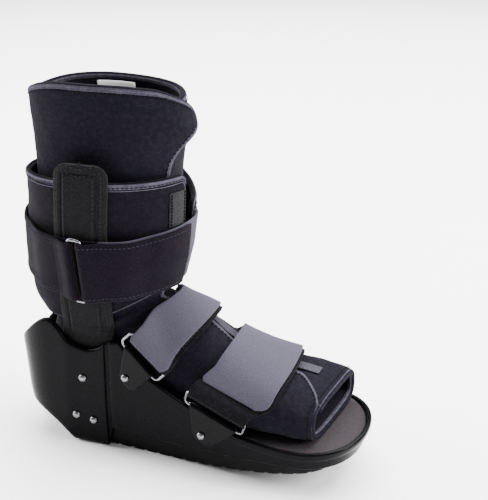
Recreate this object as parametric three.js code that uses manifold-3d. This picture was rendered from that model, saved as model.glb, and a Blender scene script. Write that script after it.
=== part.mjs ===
// Medical walking boot: rocker sole, moulded shell, padded liner, wrap, straps, rings and rivets.
// Millimetres. +X points to the toe, +Z up, the side at negative Y is called near.
import * as THREE from 'three';
import { mergeVertices } from 'three/addons/utils/BufferGeometryUtils.js';
import Module from 'manifold-3d';

const wasm = await Module();
wasm.setup();

// Gaps between pieces
const GAP = 0.4;
const TOUCH = 0.3;

// Shell
const SHELL_LENGTH = 300;
const HEEL_WIDTH = 89;
const TOE_WIDTH = 112;
const HEEL_ROUND = 47;
const TOE_ROUND = 50;
const SHELL_WALL = 3.5;
const SHELL_FLOOR = 4;
const FLOOR_HEIGHT = 33.5;
const TOE_FLOOR_RISE = 1.5;
const HEEL_LEAN = 8;
const SIDE_FLARE = 3;
const TOE_UNDERCUT = 9;
const COLUMN_STEP = 1.6;
const COLUMN_FRONT = 0.2933 * SHELL_LENGTH;
const BACK_HEIGHT = 87;
const WING_HEIGHT = 114;
const VALLEY_HEIGHT = 92;
const FRONT_WALL_HEIGHT = 104;
const TOE_RIM_HEIGHT = 39;
const SIDE_SKIRT_HEIGHT = 18;
const TOE_SKIRT_RISE = 8;
const HEEL_SKIRT_HEIGHT = 1;

// Outsole and insole
const STAND_FROM = 56;
const STAND_TO = 124;
const HEEL_LIFT = 29;
const TOE_LIFT = 28.4;
const TOE_ROCKER_RADIUS = ((SHELL_LENGTH - STAND_TO) ** 2 + TOE_LIFT ** 2) / (2 * TOE_LIFT);
const SOLE_HEEL_INSET = 22;
const SOLE_TOE_INSET = 8;
const TREAD_PITCH = 12;
const TREAD_GROOVE = 3;
const TREAD_DEPTH = 1.8;
const INSOLE_THICKNESS = 3.5;

// Liner
const LINER_TOP = 300;
const LINER_WALL = 5;
const LINER_SHAFT_WIDTH = 94;
const LINER_FLAP_GAP = 0.5;
const FAR_FLAP_OVERLAP = 40;
const TOE_EDGE_SKEW = 10;
const STRIP_WIDTH = 10;
const STRIP_THICKNESS = 1.2;
const LABEL_WIDTH = 36;
const LABEL_HEIGHT = 24;
const LABEL_THICKNESS = 0.6;

// Calf wrap and uprights
const WRAP_TOP = 238;
const WRAP_BOTTOM = 113;
const WRAP_FRONT_BOTTOM = 150;
const WRAP_WALL = 3;
const WRAP_LENGTH = 143;
const WRAP_WIDTH = 112;
const UPRIGHT_WIDTH = 42;
const UPRIGHT_THICKNESS = 4;
const UPRIGHT_TOP = 251;
const UPRIGHT_X = 67;
const UPRIGHT_LEAN = 0.066;
const UPRIGHT_CORNER = 11;

// Straps and rings
const STRAP_THICKNESS = 1.8;
const CALF_STRAP_WIDTH = 50;
const CALF_STRAP_BOTTOM = 142;
const CALF_STRAP_DIP = 7;
const INSTEP_STRAP_WIDTH = 37;
const FOREFOOT_STRAP_WIDTH = 47;
const RING_WIRE = 2.8;
const CALF_RING_SPAN = 11;
const FOOT_RING_SPAN = 13;
const RING_CORNER = 4;
const TURN_TAIL = 12;
const TAB_THICKNESS = 1.6;
const TAB_FOOT_WIDTH = 14;
const TAB_INSET = 3;
const RIVET_RADIUS = 4;
const RIVET_HEIGHT = 2.6;

// Faces
const OUTLINE_STEPS = 8;
const LINER_ROUND_STEPS = 31;
const RING_SIDES = 5;
const RIVET_SIDES = 8;

const MATERIALS = {
  outsole: { color: 0x16161a, roughness: 0.85, metalness: 0 },
  shell: { color: 0x1d1c21, roughness: 0.42, metalness: 0 },
  insole: { color: 0x6a6268, roughness: 0.9, metalness: 0 },
  liner: { color: 0x232228, roughness: 0.95, metalness: 0 },
  wrap: { color: 0x26212a, roughness: 0.95, metalness: 0 },
  strap: { color: 0x1f1a22, roughness: 0.9, metalness: 0 },
  pad: { color: 0x7b7884, roughness: 0.75, metalness: 0 },
  upright: { color: 0x1b1b1c, roughness: 0.95, metalness: 0 },
  patch: { color: 0x5c5c60, roughness: 1, metalness: 0 },
  dark_patch: { color: 0x232325, roughness: 1, metalness: 0 },
  tab: { color: 0x1b1a1f, roughness: 0.5, metalness: 0 },
  chrome: { color: 0xd9d9dc, roughness: 0.15, metalness: 1 },
  rivet: { color: 0x77767a, roughness: 0.3, metalness: 1 },
  label: { color: 0xf1f0f2, roughness: 0.8, metalness: 0 },
};

const boot = new THREE.Group();

const addPiece = (name, geometry, finish) => {
  const mesh = new THREE.Mesh(geometry, new THREE.MeshStandardMaterial(MATERIALS[finish]));
  mesh.name = name;
  boot.add(mesh);
};

// Small maths

const clamp = (value, low, high) => Math.min(Math.max(value, low), high);
const mix = (a, b, t) => a + (b - a) * t;
const smooth = (from, to, value) => {
  const t = clamp((value - from) / (to - from), 0, 1);
  return t * t * (3 - 2 * t);
};
const radians = THREE.MathUtils.degToRad;
const signedPower = (value, power) => Math.sign(value) * Math.abs(value) ** power;
const range = (count) => Array.from({ length: count }, (_, index) => index);
const spread = (count) => range(count + 1).map((index) => index / count);

// A closed solid from points and triangles, turned so that its faces point outwards.
const solidFrom = (points, triangles) => {
  let volume = 0;
  for (const [a, b, c] of triangles) {
    volume += points[a].dot(new THREE.Vector3().crossVectors(points[b], points[c]));
  }
  const turned = volume < 0 ? triangles.map(([a, b, c]) => [a, c, b]) : triangles;
  const geometry = new THREE.BufferGeometry();
  const flat = points.flatMap((p) => [p.x, p.y, p.z]);
  geometry.setAttribute('position', new THREE.Float32BufferAttribute(flat, 3));
  geometry.setIndex(turned.flat());
  return geometry;
};

// A thick sheet between two grids of points of one size, closed along its four edges.
const sheetBetween = (outer, inner) => {
  const rows = outer.length;
  const columns = outer[0].length;
  const points = [...outer.flat(), ...inner.flat()];
  const outside = (i, j) => i * columns + j;
  const inside = (i, j) => rows * columns + i * columns + j;
  const triangles = [];
  const quad = (a, b, c, d) => triangles.push([a, b, c], [a, c, d]);
  for (let i = 0; i < rows - 1; i += 1) {
    for (let j = 0; j < columns - 1; j += 1) {
      quad(outside(i, j), outside(i + 1, j), outside(i + 1, j + 1), outside(i, j + 1));
      quad(inside(i, j), inside(i, j + 1), inside(i + 1, j + 1), inside(i + 1, j));
    }
    quad(outside(i, 0), inside(i, 0), inside(i + 1, 0), outside(i + 1, 0));
    quad(outside(i, columns - 1), outside(i + 1, columns - 1), inside(i + 1, columns - 1),
      inside(i, columns - 1));
  }
  for (let j = 0; j < columns - 1; j += 1) {
    quad(outside(0, j), outside(0, j + 1), inside(0, j + 1), inside(0, j));
    quad(outside(rows - 1, j), inside(rows - 1, j), inside(rows - 1, j + 1),
      outside(rows - 1, j + 1));
  }
  return solidFrom(points, triangles);
};

// A closed solid through level loops of one point count, with flat ends.
const solidThroughLoops = (loops) => {
  const count = loops[0].length;
  const points = loops.flat();
  const triangles = [];
  for (let i = 0; i < loops.length - 1; i += 1) {
    for (let j = 0; j < count; j += 1) {
      const k = (j + 1) % count;
      const [a, b, c, d] = [i * count + j, i * count + k, (i + 1) * count + k, (i + 1) * count + j];
      triangles.push([a, b, c], [a, c, d]);
    }
  }
  const outline = loops[0].map((p) => new THREE.Vector2(p.x, p.y));
  const last = (loops.length - 1) * count;
  for (const [a, b, c] of THREE.ShapeUtils.triangulateShape(outline, [])) {
    triangles.push([a, c, b], [last + a, last + b, last + c]);
  }
  return solidFrom(points, triangles);
};

const toManifold = (geometry) => {
  const bare = geometry.clone();
  bare.deleteAttribute('normal');
  bare.deleteAttribute('uv');
  const merged = mergeVertices(bare, 1e-4);
  return new wasm.Manifold(new wasm.Mesh({
    numProp: 3,
    vertProperties: merged.attributes.position.array,
    triVerts: Uint32Array.from(merged.index.array),
  }));
};

const fromManifold = (solid) => {
  const mesh = solid.getMesh();
  const geometry = new THREE.BufferGeometry();
  geometry.setAttribute('position', new THREE.Float32BufferAttribute(mesh.vertProperties, 3));
  geometry.setIndex(Array.from(mesh.triVerts));
  return geometry;
};

// A side-view outline in X and Z, carried across the whole width of the boot.
const acrossWidth = (outline) => {
  const shape = new THREE.Shape(outline.map(([x, z]) => new THREE.Vector2(x, z)));
  const depth = 2 * TOE_WIDTH;
  const geometry = new THREE.ExtrudeGeometry(shape, { depth, bevelEnabled: false });
  geometry.rotateX(Math.PI / 2);
  geometry.translate(0, depth / 2, 0);
  return toManifold(geometry);
};

// Shell plan outline

const toeCentre = SHELL_LENGTH - TOE_ROUND;
const HEEL_SQUARENESS = 2.7;
const TOE_SQUARENESS = 2.15;

const halfWidthAt = (x) => {
  if (x < HEEL_ROUND) {
    const share = clamp((HEEL_ROUND - x) / HEEL_ROUND, 0, 1);
    return HEEL_WIDTH / 2 * (1 - share ** HEEL_SQUARENESS) ** (1 / HEEL_SQUARENESS);
  }
  if (x > toeCentre) {
    const share = clamp((x - toeCentre) / TOE_ROUND, 0, 1);
    return TOE_WIDTH / 2 * (1 - share ** TOE_SQUARENESS) ** (1 / TOE_SQUARENESS);
  }
  return mix(HEEL_WIDTH / 2, TOE_WIDTH / 2, smooth(COLUMN_FRONT, toeCentre, x));
};

// The near half of the outline from the heel to the toe, then the far half back.
const planOutline = () => {
  const heel = spread(OUTLINE_STEPS).map((t) => {
    const angle = t * Math.PI / 2;
    return [HEEL_ROUND * (1 - Math.cos(angle) ** (2 / HEEL_SQUARENESS)),
      HEEL_WIDTH / 2 * Math.sin(angle) ** (2 / HEEL_SQUARENESS)];
  });
  const side = spread(OUTLINE_STEPS).slice(1, -1).map((t) => {
    const x = mix(HEEL_ROUND, toeCentre, t);
    return [x, halfWidthAt(x)];
  });
  const toe = spread(OUTLINE_STEPS).map((t) => {
    const angle = t * Math.PI / 2;
    return [toeCentre + TOE_ROUND * Math.sin(angle) ** (2 / TOE_SQUARENESS),
      TOE_WIDTH / 2 * Math.max(Math.cos(angle), 0) ** (2 / TOE_SQUARENESS)];
  });
  const near = [...heel, ...side, ...toe];
  const far = near.slice(1, -1).reverse().map(([x, y]) => [x, -y]);
  return [...near.map(([x, y]) => [x, y]), ...far];
};

// The outline moved inwards by a distance, along each point's own normal.
const insetOutline = (distance) => {
  const points = planOutline();
  const count = points.length;
  return points.map(([x, y], index) => {
    const [ax, ay] = points[(index + count - 1) % count];
    const [bx, by] = points[(index + 1) % count];
    const length = Math.hypot(bx - ax, by - ay);
    return [x + (by - ay) / length * distance, y - (bx - ax) / length * distance];
  });
};

// The heel leans back as it rises, the toe leans forward, and the sides flare out to the rim.
const LEAN_TOP = BACK_HEIGHT;
const flareAt = (z) => SIDE_FLARE * (1 - clamp(z / TOE_RIM_HEIGHT, 0, 1));
const heelLean = (x, z) => HEEL_LEAN * (1 - clamp(z / LEAN_TOP, 0, 1)) * (1 - clamp(x / HEEL_ROUND, 0, 1));
const toeLean = (x, z) => TOE_UNDERCUT * (1 - clamp(z / TOE_RIM_HEIGHT, 0, 1))
  * clamp((x - toeCentre) / TOE_ROUND, 0, 1);
const leanAt = (x, z) => heelLean(x, z) - toeLean(x, z);

const LEVELS = [-10, 0, TOE_RIM_HEIGHT, LEAN_TOP, WING_HEIGHT + 20];
const prism = (distance) => toManifold(solidThroughLoops(LEVELS.map((z) => (
  insetOutline(distance + flareAt(z)).reverse()
    .map(([x, y]) => new THREE.Vector3(x + leanAt(x, z), y, z))
))));

// Side-view lines of the sole and the floor

const rockerBottom = (x) => {
  if (x < STAND_FROM) {
    return HEEL_LIFT * (1 - (x / STAND_FROM) ** 2);
  }
  if (x > STAND_TO) {
    return TOE_ROCKER_RADIUS - Math.sqrt(TOE_ROCKER_RADIUS ** 2 - (x - STAND_TO) ** 2);
  }
  return 0;
};
const FLOOR_BEND = 0.49 * SHELL_LENGTH;
const floorTop = (x) => (
  FLOOR_HEIGHT + TOE_FLOOR_RISE * clamp((x - FLOOR_BEND) / (SHELL_LENGTH - FLOOR_BEND), 0, 1)
);
const insoleTop = (x) => floorTop(x) + TOUCH + INSOLE_THICKNESS;
const floorLine = [0, FLOOR_BEND, SHELL_LENGTH];
const OVER_LENGTH = 20;

// A band in side view between two heights above the floor's top, over the whole length.
const floorBand = (low, high) => {
  const xs = [-OVER_LENGTH, ...floorLine.slice(1, -1), SHELL_LENGTH];
  const ends = xs.map((x) => [x, floorTop(x)]);
  const tip = [SHELL_LENGTH + OVER_LENGTH, floorTop(SHELL_LENGTH)];
  const line = [...ends, tip];
  return [...line.map(([x, z]) => [x, z + low]), ...line.reverse().map(([x, z]) => [x, z + high])];
};

// Shell

// Top edge in side view. x is a share of the shell length; z is a share of the named height.
const WING_EDGE = [
  { x: 0.0, height: BACK_HEIGHT, share: 0.885 },
  { x: 0.012, height: BACK_HEIGHT, share: 0.965 },
  { x: 0.044, height: WING_HEIGHT, share: 0.845 },
  { x: 0.093, height: WING_HEIGHT, share: 0.965 },
  { x: 0.1265, height: WING_HEIGHT, share: 1.0 },
  { x: 0.153, height: WING_HEIGHT, share: 0.955 },
  { x: 0.176, height: WING_HEIGHT, share: 0.875 },
  { x: 0.2025, height: VALLEY_HEIGHT, share: 1.025 },
  { x: 0.24, height: VALLEY_HEIGHT, share: 0.995 },
  { x: 0.2705, height: VALLEY_HEIGHT, share: 1.02 },
  { x: COLUMN_FRONT / SHELL_LENGTH, height: VALLEY_HEIGHT, share: 1.07 },
];
const SLANT_EDGE = [
  { x: 0.336, height: FRONT_WALL_HEIGHT, share: 0.985 },
  { x: 0.3575, height: FRONT_WALL_HEIGHT, share: 0.9 },
  { x: 0.392, height: FRONT_WALL_HEIGHT, share: 0.785 },
  { x: 0.4355, height: FRONT_WALL_HEIGHT, share: 0.7 },
  { x: 0.534, height: FRONT_WALL_HEIGHT, share: 0.565 },
  { x: 0.6555, height: FRONT_WALL_HEIGHT, share: 0.43 },
  { x: 0.7365, height: TOE_RIM_HEIGHT, share: 1.03 },
  { x: 0.828, height: TOE_RIM_HEIGHT, share: 0.98 },
  { x: 0.939, height: TOE_RIM_HEIGHT, share: 1.04 },
  { x: 1.0, height: TOE_RIM_HEIGHT, share: 1.1 },
];
const edgePoints = (table, steps) => {
  const knots = table.map((row) => new THREE.Vector2(row.x * SHELL_LENGTH, row.height * row.share));
  return new THREE.SplineCurve(knots).getPoints(steps).map((p) => [p.x, p.y]);
};
const wingEdge = edgePoints(WING_EDGE, 20);
const slantEdge = edgePoints(SLANT_EDGE, 20);
const wallTopAt = (x) => {
  const line = x < COLUMN_FRONT ? wingEdge : slantEdge;
  const index = clamp(line.findIndex(([px]) => px >= x), 1, line.length - 1);
  const [ax, az] = line[index - 1];
  const [bx, bz] = line[index];
  return mix(az, bz, clamp((x - ax) / (bx - ax), 0, 1));
};

// The lower edge follows the rocker at the heel and stands above the outsole's side in front.
const SKIRT_XS = [0, 0.05, 0.1, 0.15, 0.2, 0.25, 0.295];
const skirtEdge = [
  ...SKIRT_XS.map((share) => share * SHELL_LENGTH).map((x) => [x, rockerBottom(x) + HEEL_SKIRT_HEIGHT]),
  [COLUMN_FRONT + 4, SIDE_SKIRT_HEIGHT],
  [FLOOR_BEND, SIDE_SKIRT_HEIGHT],
  [SHELL_LENGTH, SIDE_SKIRT_HEIGHT + TOE_SKIRT_RISE],
];

const shellSolid = () => {
  const top = [[-OVER_LENGTH, wingEdge[0][1]], ...wingEdge, ...slantEdge,
    [SHELL_LENGTH + OVER_LENGTH, slantEdge[slantEdge.length - 1][1]]];
  const bottom = [[-OVER_LENGTH, skirtEdge[0][1]], ...skirtEdge,
    [SHELL_LENGTH + OVER_LENGTH, skirtEdge[skirtEdge.length - 1][1]]];
  const sideView = acrossWidth([...bottom, ...top.reverse()]);
  const rear = acrossWidth([[-OVER_LENGTH, -OVER_LENGTH], [COLUMN_FRONT, -OVER_LENGTH],
    [COLUMN_FRONT, 2 * WING_HEIGHT], [-OVER_LENGTH, 2 * WING_HEIGHT]]);
  const outside = prism(0).add(prism(-COLUMN_STEP).intersect(rear));
  const inside = prism(SHELL_WALL);
  const floor = acrossWidth(floorBand(-SHELL_FLOOR, 0));
  const hollow = inside.subtract(floor);
  return outside.intersect(sideView).subtract(hollow);
};
addPiece('shell', fromManifold(shellSolid()), 'shell');

// Distance of the shell's outer face from the middle plane at a place on its side.
const shellFaceAt = (x, z) => (
  halfWidthAt(x) - flareAt(z) + (x < COLUMN_FRONT ? COLUMN_STEP : 0)
);
const shellInnerAt = (x, z) => halfWidthAt(x) - flareAt(z) - SHELL_WALL;

// Outsole, with grooves across its width

const soleBottomLine = () => {
  const from = SOLE_HEEL_INSET;
  const to = SHELL_LENGTH - SOLE_TOE_INSET;
  const centre = (STAND_FROM + STAND_TO) / 2;
  const first = Math.ceil((from + TREAD_PITCH - centre) / TREAD_PITCH - 0.5);
  const last = Math.floor((to - TREAD_PITCH - centre) / TREAD_PITCH - 0.5);
  const line = [[from, rockerBottom(from)]];
  for (let index = first; index <= last; index += 1) {
    const x = centre + (index + 0.5) * TREAD_PITCH;
    const [a, b] = [x - TREAD_GROOVE / 2, x + TREAD_GROOVE / 2];
    line.push([a, rockerBottom(a)], [a, rockerBottom(a) + TREAD_DEPTH]);
    line.push([b, rockerBottom(b) + TREAD_DEPTH], [b, rockerBottom(b)]);
  }
  line.push([to, rockerBottom(to)]);
  return line;
};
const outsoleSolid = () => {
  const bottom = soleBottomLine();
  const from = bottom[0][0];
  const to = bottom[bottom.length - 1][0];
  const under = (x) => floorTop(x) - SHELL_FLOOR - TOUCH;
  const sideView = acrossWidth([...bottom, [to, under(to)], [FLOOR_BEND, under(FLOOR_BEND)],
    [from, under(from)]]);
  return prism(SHELL_WALL + GAP).intersect(sideView);
};
addPiece('outsole', fromManifold(outsoleSolid()), 'outsole');

const insoleSolid = () => prism(SHELL_WALL + GAP)
  .intersect(acrossWidth(floorBand(TOUCH, TOUCH + INSOLE_THICKNESS)));
addPiece('insole', fromManifold(insoleSolid()), 'insole');

// Liner
// Each row is one section across the liner, from its front or ridge to its back or sole.
// fx, bx: front and back place, shares of the shell length.
// fz, bz: height above the insole, shares of the liner's rise; a back at 0 rests on the insole.
// width: share of the room between the shell's walls, or of the shaft's width where shaft is 1.
// edge: angle of the near flap's free edge from the front, in degrees.
// gape: how far the near flap stands off the far one at the front.
// round, flat: squareness of the front half and the back half.
const LINER_COLUMNS = ['fx', 'fz', 'bx', 'bz', 'width', 'shaft', 'edge', 'gape', 'round', 'flat'];
const LINER_TABLE = [
  [0.5065, 1.0000, 0.0500, 0.999, 1.000, 1, 2, 11, 2.2, 2.1],
  [0.5133, 0.9510, 0.0500, 0.949, 1.000, 1, 3, 12, 2.2, 2.1],
  [0.5185, 0.8930, 0.0535, 0.885, 0.990, 1, 15, 9, 2.3, 2.1],
  [0.4843, 0.8020, 0.0601, 0.786, 0.980, 1, 24, 3, 2.3, 2.1],
  [0.4681, 0.6760, 0.0617, 0.660, 0.970, 1, 24, 0, 2.2, 2.1],
  [0.4610, 0.5510, 0.0586, 0.527, 0.930, 1, 24, 0, 2.2, 2.1],
  [0.4458, 0.4750, 0.0617, 0.428, 0.850, 1, 24, 0, 2.2, 2.1],
  [0.4357, 0.4330, 0.0814, 0.337, 0.755, 1, 22, 0, 2.2, 2.1],
  [0.4380, 0.4015, 0.0931, 0.264, 0.865, 0, 20, 0, 2.2, 2.2],
  [0.4384, 0.3760, 0.0769, 0.188, 0.880, 0, 17, 0, 2.2, 2.3],
  [0.4465, 0.3630, 0.0535, 0.116, 0.880, 0, 14, 0, 2.2, 2.4],
  [0.4586, 0.3530, 0.0449, 0.055, 0.880, 0, 11, 0, 2.2, 2.5],
  [0.4738, 0.3450, 0.0667, 0.015, 0.880, 0, 8, 0, 2.2, 2.6],
  [0.4921, 0.3360, 0.1387, 0.000, 0.880, 0, 6, 0, 2.2, 2.8],
  [0.5123, 0.3260, 0.2370, 0.000, 0.885, 0, 4, 0, 2.2, 3],
  [0.5341, 0.3140, 0.3332, 0.000, 0.890, 0, 3, 0, 2.2, 3.2],
  [0.5595, 0.2953, 0.4265, 0.000, 0.890, 0, 3, 0, 2.2, 3.4],
  [0.5932, 0.2590, 0.5197, 0.000, 0.900, 0, 2, 0, 2.3, 3.5],
  [0.6375, 0.2263, 0.6068, 0.000, 0.920, 0, 2, 0, 2.3, 3.6],
  [0.6981, 0.1945, 0.6859, 0.000, 0.925, 0, 1, 0, 2.4, 3.6],
  [0.7619, 0.1746, 0.7598, 0.000, 0.930, 0, 1, 0, 2.5, 3.6],
  [0.8151, 0.1625, 0.8201, 0.000, 0.935, 0, 2, 0, 2.6, 3.6],
  [0.8552, 0.1552, 0.8602, 0.000, 0.935, 0, 14, 0, 2.6, 3.6],
  [0.8815, 0.1488, 0.8865, 0.000, 0.935, 0, 27, 0, 2.6, 3.6],
  [0.8977, 0.1435, 0.9027, 0.000, 0.930, 0, 42, 0, 2.6, 3.6],
];
const LINER_ROWS = LINER_TABLE.map((row) => (
  Object.fromEntries(LINER_COLUMNS.map((name, index) => [name, row[index]]))
));
const LAST_ROW = LINER_ROWS.length - 1;
const linerRise = LINER_TOP - insoleTop(0);

const linerSection = (row) => {
  const fx = row.fx * SHELL_LENGTH;
  const bx = row.bx * SHELL_LENGTH;
  const front = new THREE.Vector3(fx, 0, insoleTop(0) + row.fz * linerRise);
  const back = new THREE.Vector3(bx, 0, insoleTop(bx) + TOUCH + row.bz * linerRise);
  const room = shellInnerAt(Math.max(bx, HEEL_ROUND), floorTop(bx));
  const halfWidth = row.width * mix(room, LINER_SHAFT_WIDTH / 2, row.shaft);
  return { ...row, front, back, halfWidth };
};
const sections = LINER_ROWS.map(linerSection);
const sectionKeys = ['halfWidth', 'edge', 'gape', 'round', 'flat'];

// A section at any place between the rows, blended smoothly through four neighbours.
const blend = (a, b, c, d, t) => 0.5 * (2 * b + (c - a) * t + (2 * a - 5 * b + 4 * c - d) * t * t
  + (3 * b - a - 3 * c + d) * t * t * t);
const sectionAt = (place) => {
  const index = clamp(Math.floor(place), 0, LAST_ROW - 1);
  const t = place - index;
  const rows = [index - 1, index, index + 1, index + 2].map((i) => sections[clamp(i, 0, LAST_ROW)]);
  const along = (pick) => blend(...rows.map(pick), t);
  const section = {
    front: new THREE.Vector3(along((r) => r.front.x), 0, along((r) => r.front.z)),
    back: new THREE.Vector3(along((r) => r.back.x), 0, along((r) => r.back.z)),
  };
  for (const key of sectionKeys) {
    section[key] = along((r) => r[key]);
  }
  return section;
};

// Angle 0 is the front or ridge, 90 the near side, 180 the back or sole, 270 the far side.
// The far flap dips under the near flap over the last part of the far side.
const DIP_FROM = 290;
const flatPoint = (section, degrees) => {
  const angle = radians(degrees);
  const half = section.front.distanceTo(section.back) / 2;
  const lengthways = Math.cos(angle);
  const power = 2 / (lengthways > 0 ? section.round : section.flat);
  const a = half * signedPower(lengthways, power);
  const b = section.halfWidth * signedPower(Math.sin(angle), power);
  return [a, b];
};
const sectionPoint = (section, degrees, offset) => {
  const step = 0.5;
  const [a, b] = flatPoint(section, degrees);
  const [a0, b0] = flatPoint(section, degrees - step);
  const [a1, b1] = flatPoint(section, degrees + step);
  const length = Math.hypot(a1 - a0, b1 - b0) || 1;
  const dip = (LINER_WALL + LINER_FLAP_GAP + section.gape) * smooth(DIP_FROM, 360, degrees);
  const out = offset - dip;
  const na = (b1 - b0) / length;
  const nb = -(a1 - a0) / length;
  const centre = section.front.clone().add(section.back).multiplyScalar(0.5);
  const forward = section.front.clone().sub(section.back).normalize();
  const point = centre.addScaledVector(forward, a + na * out);
  point.y -= b + nb * out;
  return point;
};

// The rim is rounded at the near flap's corner and falls gently along the far side; the toe edge
// is cut at a slight skew.
const RIM_DROP = 13;
const RIM_FALL = { from: 245, to: 385 };
const RIM_SLOPE = 6.5;
const RIM_SLOPE_ANGLE = 80;
const RIM_CORNER = 16;
const RIM_CORNER_ANGLE = 26;
const rimDrop = (degrees, section) => {
  const corner = clamp(1 - (degrees - section.edge) / RIM_CORNER_ANGLE, 0, 1);
  const near = RIM_CORNER * (1 - Math.sqrt(1 - 0.97 * corner ** 2));
  const slope = RIM_SLOPE * (1 - smooth(section.edge, section.edge + RIM_SLOPE_ANGLE, degrees));
  return near + slope + RIM_DROP * smooth(RIM_FALL.from, RIM_FALL.to, degrees);
};
const linerPoint = (place, degrees, offset) => {
  const section = sectionAt(place);
  const point = sectionPoint(section, degrees, offset);
  const shaftShare = 1 - smooth(0, 3, place);
  point.z -= rimDrop(degrees, section) * shaftShare;
  point.x += TOE_EDGE_SKEW * point.y / (TOE_WIDTH / 2) * smooth(LAST_ROW - 5, LAST_ROW, place);
  return point;
};
// The faces follow the free edge only close to it, so the rest of the round stays straight.
const EDGE_EASE = 6;
const linerAngles = (place) => {
  const from = sectionAt(place).edge;
  const to = 360 + FAR_FLAP_OVERLAP;
  return spread(LINER_ROUND_STEPS).map((t) => to * t + from * (1 - t) ** EDGE_EASE);
};
const linerGrid = (offset) => range(LAST_ROW + 1).map((row) => (
  linerAngles(row).map((degrees) => linerPoint(row, degrees, offset))
));
addPiece('liner', sheetBetween(linerGrid(0), linerGrid(-LINER_WALL)), 'liner');

// Strip of hook tape along the far flap, beside the near flap's edge, and the bare label
// on the inside of the far wall.

const STRIP_FROM = 15.5;
const STRIP_TO = 21.6;
const STRIP_FROM_RIDGE = 8;
const stripSheet = () => {
  const grid = (offset) => spread(8).map((t) => {
    const place = mix(STRIP_FROM, STRIP_TO, t);
    const section = sectionAt(place);
    const half = section.halfWidth;
    const middle = 360 - THREE.MathUtils.radToDeg((GAP + STRIP_WIDTH / 2) / half)
      - STRIP_FROM_RIDGE;
    const reach = THREE.MathUtils.radToDeg(STRIP_WIDTH / 2 / half);
    return [-1, 0, 1].map((side) => linerPoint(place, middle + side * reach, offset));
  });
  return sheetBetween(grid(GAP + STRIP_THICKNESS), grid(GAP));
};
addPiece('liner_hook_strip', stripSheet(), 'pad');

const LABEL_PLACE = 0.5;
const LABEL_ANGLE = 256;
const labelSheet = () => {
  const half = THREE.MathUtils.radToDeg(LABEL_WIDTH / 2 / (0.25 * SHELL_LENGTH));
  const rowHeight = sections[1].front.distanceTo(sections[2].front);
  const grid = (offset) => spread(3).map((t) => {
    const place = LABEL_PLACE + t * LABEL_HEIGHT / rowHeight;
    return spread(4).map((s) => linerPoint(place, LABEL_ANGLE + mix(-half, half, s), offset));
  });
  const skin = -LINER_WALL - GAP;
  return sheetBetween(grid(skin), grid(skin - LABEL_THICKNESS));
};
addPiece('liner_label', labelSheet(), 'label');

// Calf wrap
// Each row is one level. z: share between the wrap's bottom and top. middle: centre place,
// share of the shell length. long, wide: shares of the wrap's half length and half width.
const WRAP_ROWS = [
  { z: 0.0, middle: 0.2235, long: 0.69, wide: 0.69 },
  { z: 0.112, middle: 0.2295, long: 0.83, wide: 0.752 },
  { z: 0.296, middle: 0.244, long: 0.912, wide: 0.832 },
  { z: 0.472, middle: 0.2535, long: 0.943, wide: 0.902 },
  { z: 0.696, middle: 0.261, long: 0.953, wide: 0.982 },
  { z: 1.0, middle: 0.2655, long: 0.95, wide: 1.0 },
];
const wrapCurves = Object.fromEntries(['middle', 'long', 'wide'].map((key) => (
  [key, new THREE.SplineCurve(WRAP_ROWS.map((row) => new THREE.Vector2(row.z, row[key])))]
)));
const wrapRowAt = (z) => {
  const share = (z - WRAP_BOTTOM) / (WRAP_TOP - WRAP_BOTTOM);
  const at = (key) => {
    const curve = wrapCurves[key];
    let [low, high] = [0, 1];
    for (let step = 0; step < 24; step += 1) {
      const t = (low + high) / 2;
      [low, high] = curve.getPoint(t).x < share ? [t, high] : [low, t];
    }
    return curve.getPoint(low).y;
  };
  return {
    middle: at('middle') * SHELL_LENGTH,
    long: at('long') * WRAP_LENGTH / 2,
    wide: at('wide') * WRAP_WIDTH / 2,
  };
};
const WRAP_SQUARENESS = 2.2;
const calfPoint = (degrees, z, offset) => {
  const row = wrapRowAt(z);
  const angle = radians(degrees);
  const power = 2 / WRAP_SQUARENESS;
  return new THREE.Vector3(
    row.middle + (row.long + offset) * signedPower(Math.cos(angle), power),
    -(row.wide + offset) * signedPower(Math.sin(angle), power),
    z,
  );
};
const WRAP_NEAR_EDGE = 10;
const WRAP_FAR_EDGE = 356;
const WRAP_BACK_DROP = 4;
const WRAP_FAR_DROP = 27;
const WRAP_CORNER = 7;
const wrapBottomAt = (degrees) => {
  const front = Math.max(Math.cos(radians(degrees)), 0) ** 1.3;
  return mix(WRAP_BOTTOM, WRAP_FRONT_BOTTOM, front);
};
// The two front ends have round corners. The rim falls towards the far end, and a little at the back.
const wrapCorner = (reach) => {
  const share = clamp(1 - reach / WRAP_CORNER, 0, 1);
  return WRAP_CORNER * (1 - Math.sqrt(1 - share ** 2));
};
const wrapPerDegree = Math.PI / 180 * (WRAP_LENGTH + WRAP_WIDTH) / 4;
const wrapTopAt = (degrees) => {
  const near = wrapCorner((degrees - WRAP_NEAR_EDGE) * wrapPerDegree);
  const far = wrapCorner((WRAP_FAR_EDGE - degrees) * wrapPerDegree);
  const fall = WRAP_FAR_DROP * smooth(270, WRAP_FAR_EDGE, degrees);
  return WRAP_TOP - WRAP_BACK_DROP * (1 - Math.cos(radians(degrees))) / 2 - fall - near - far;
};
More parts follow.
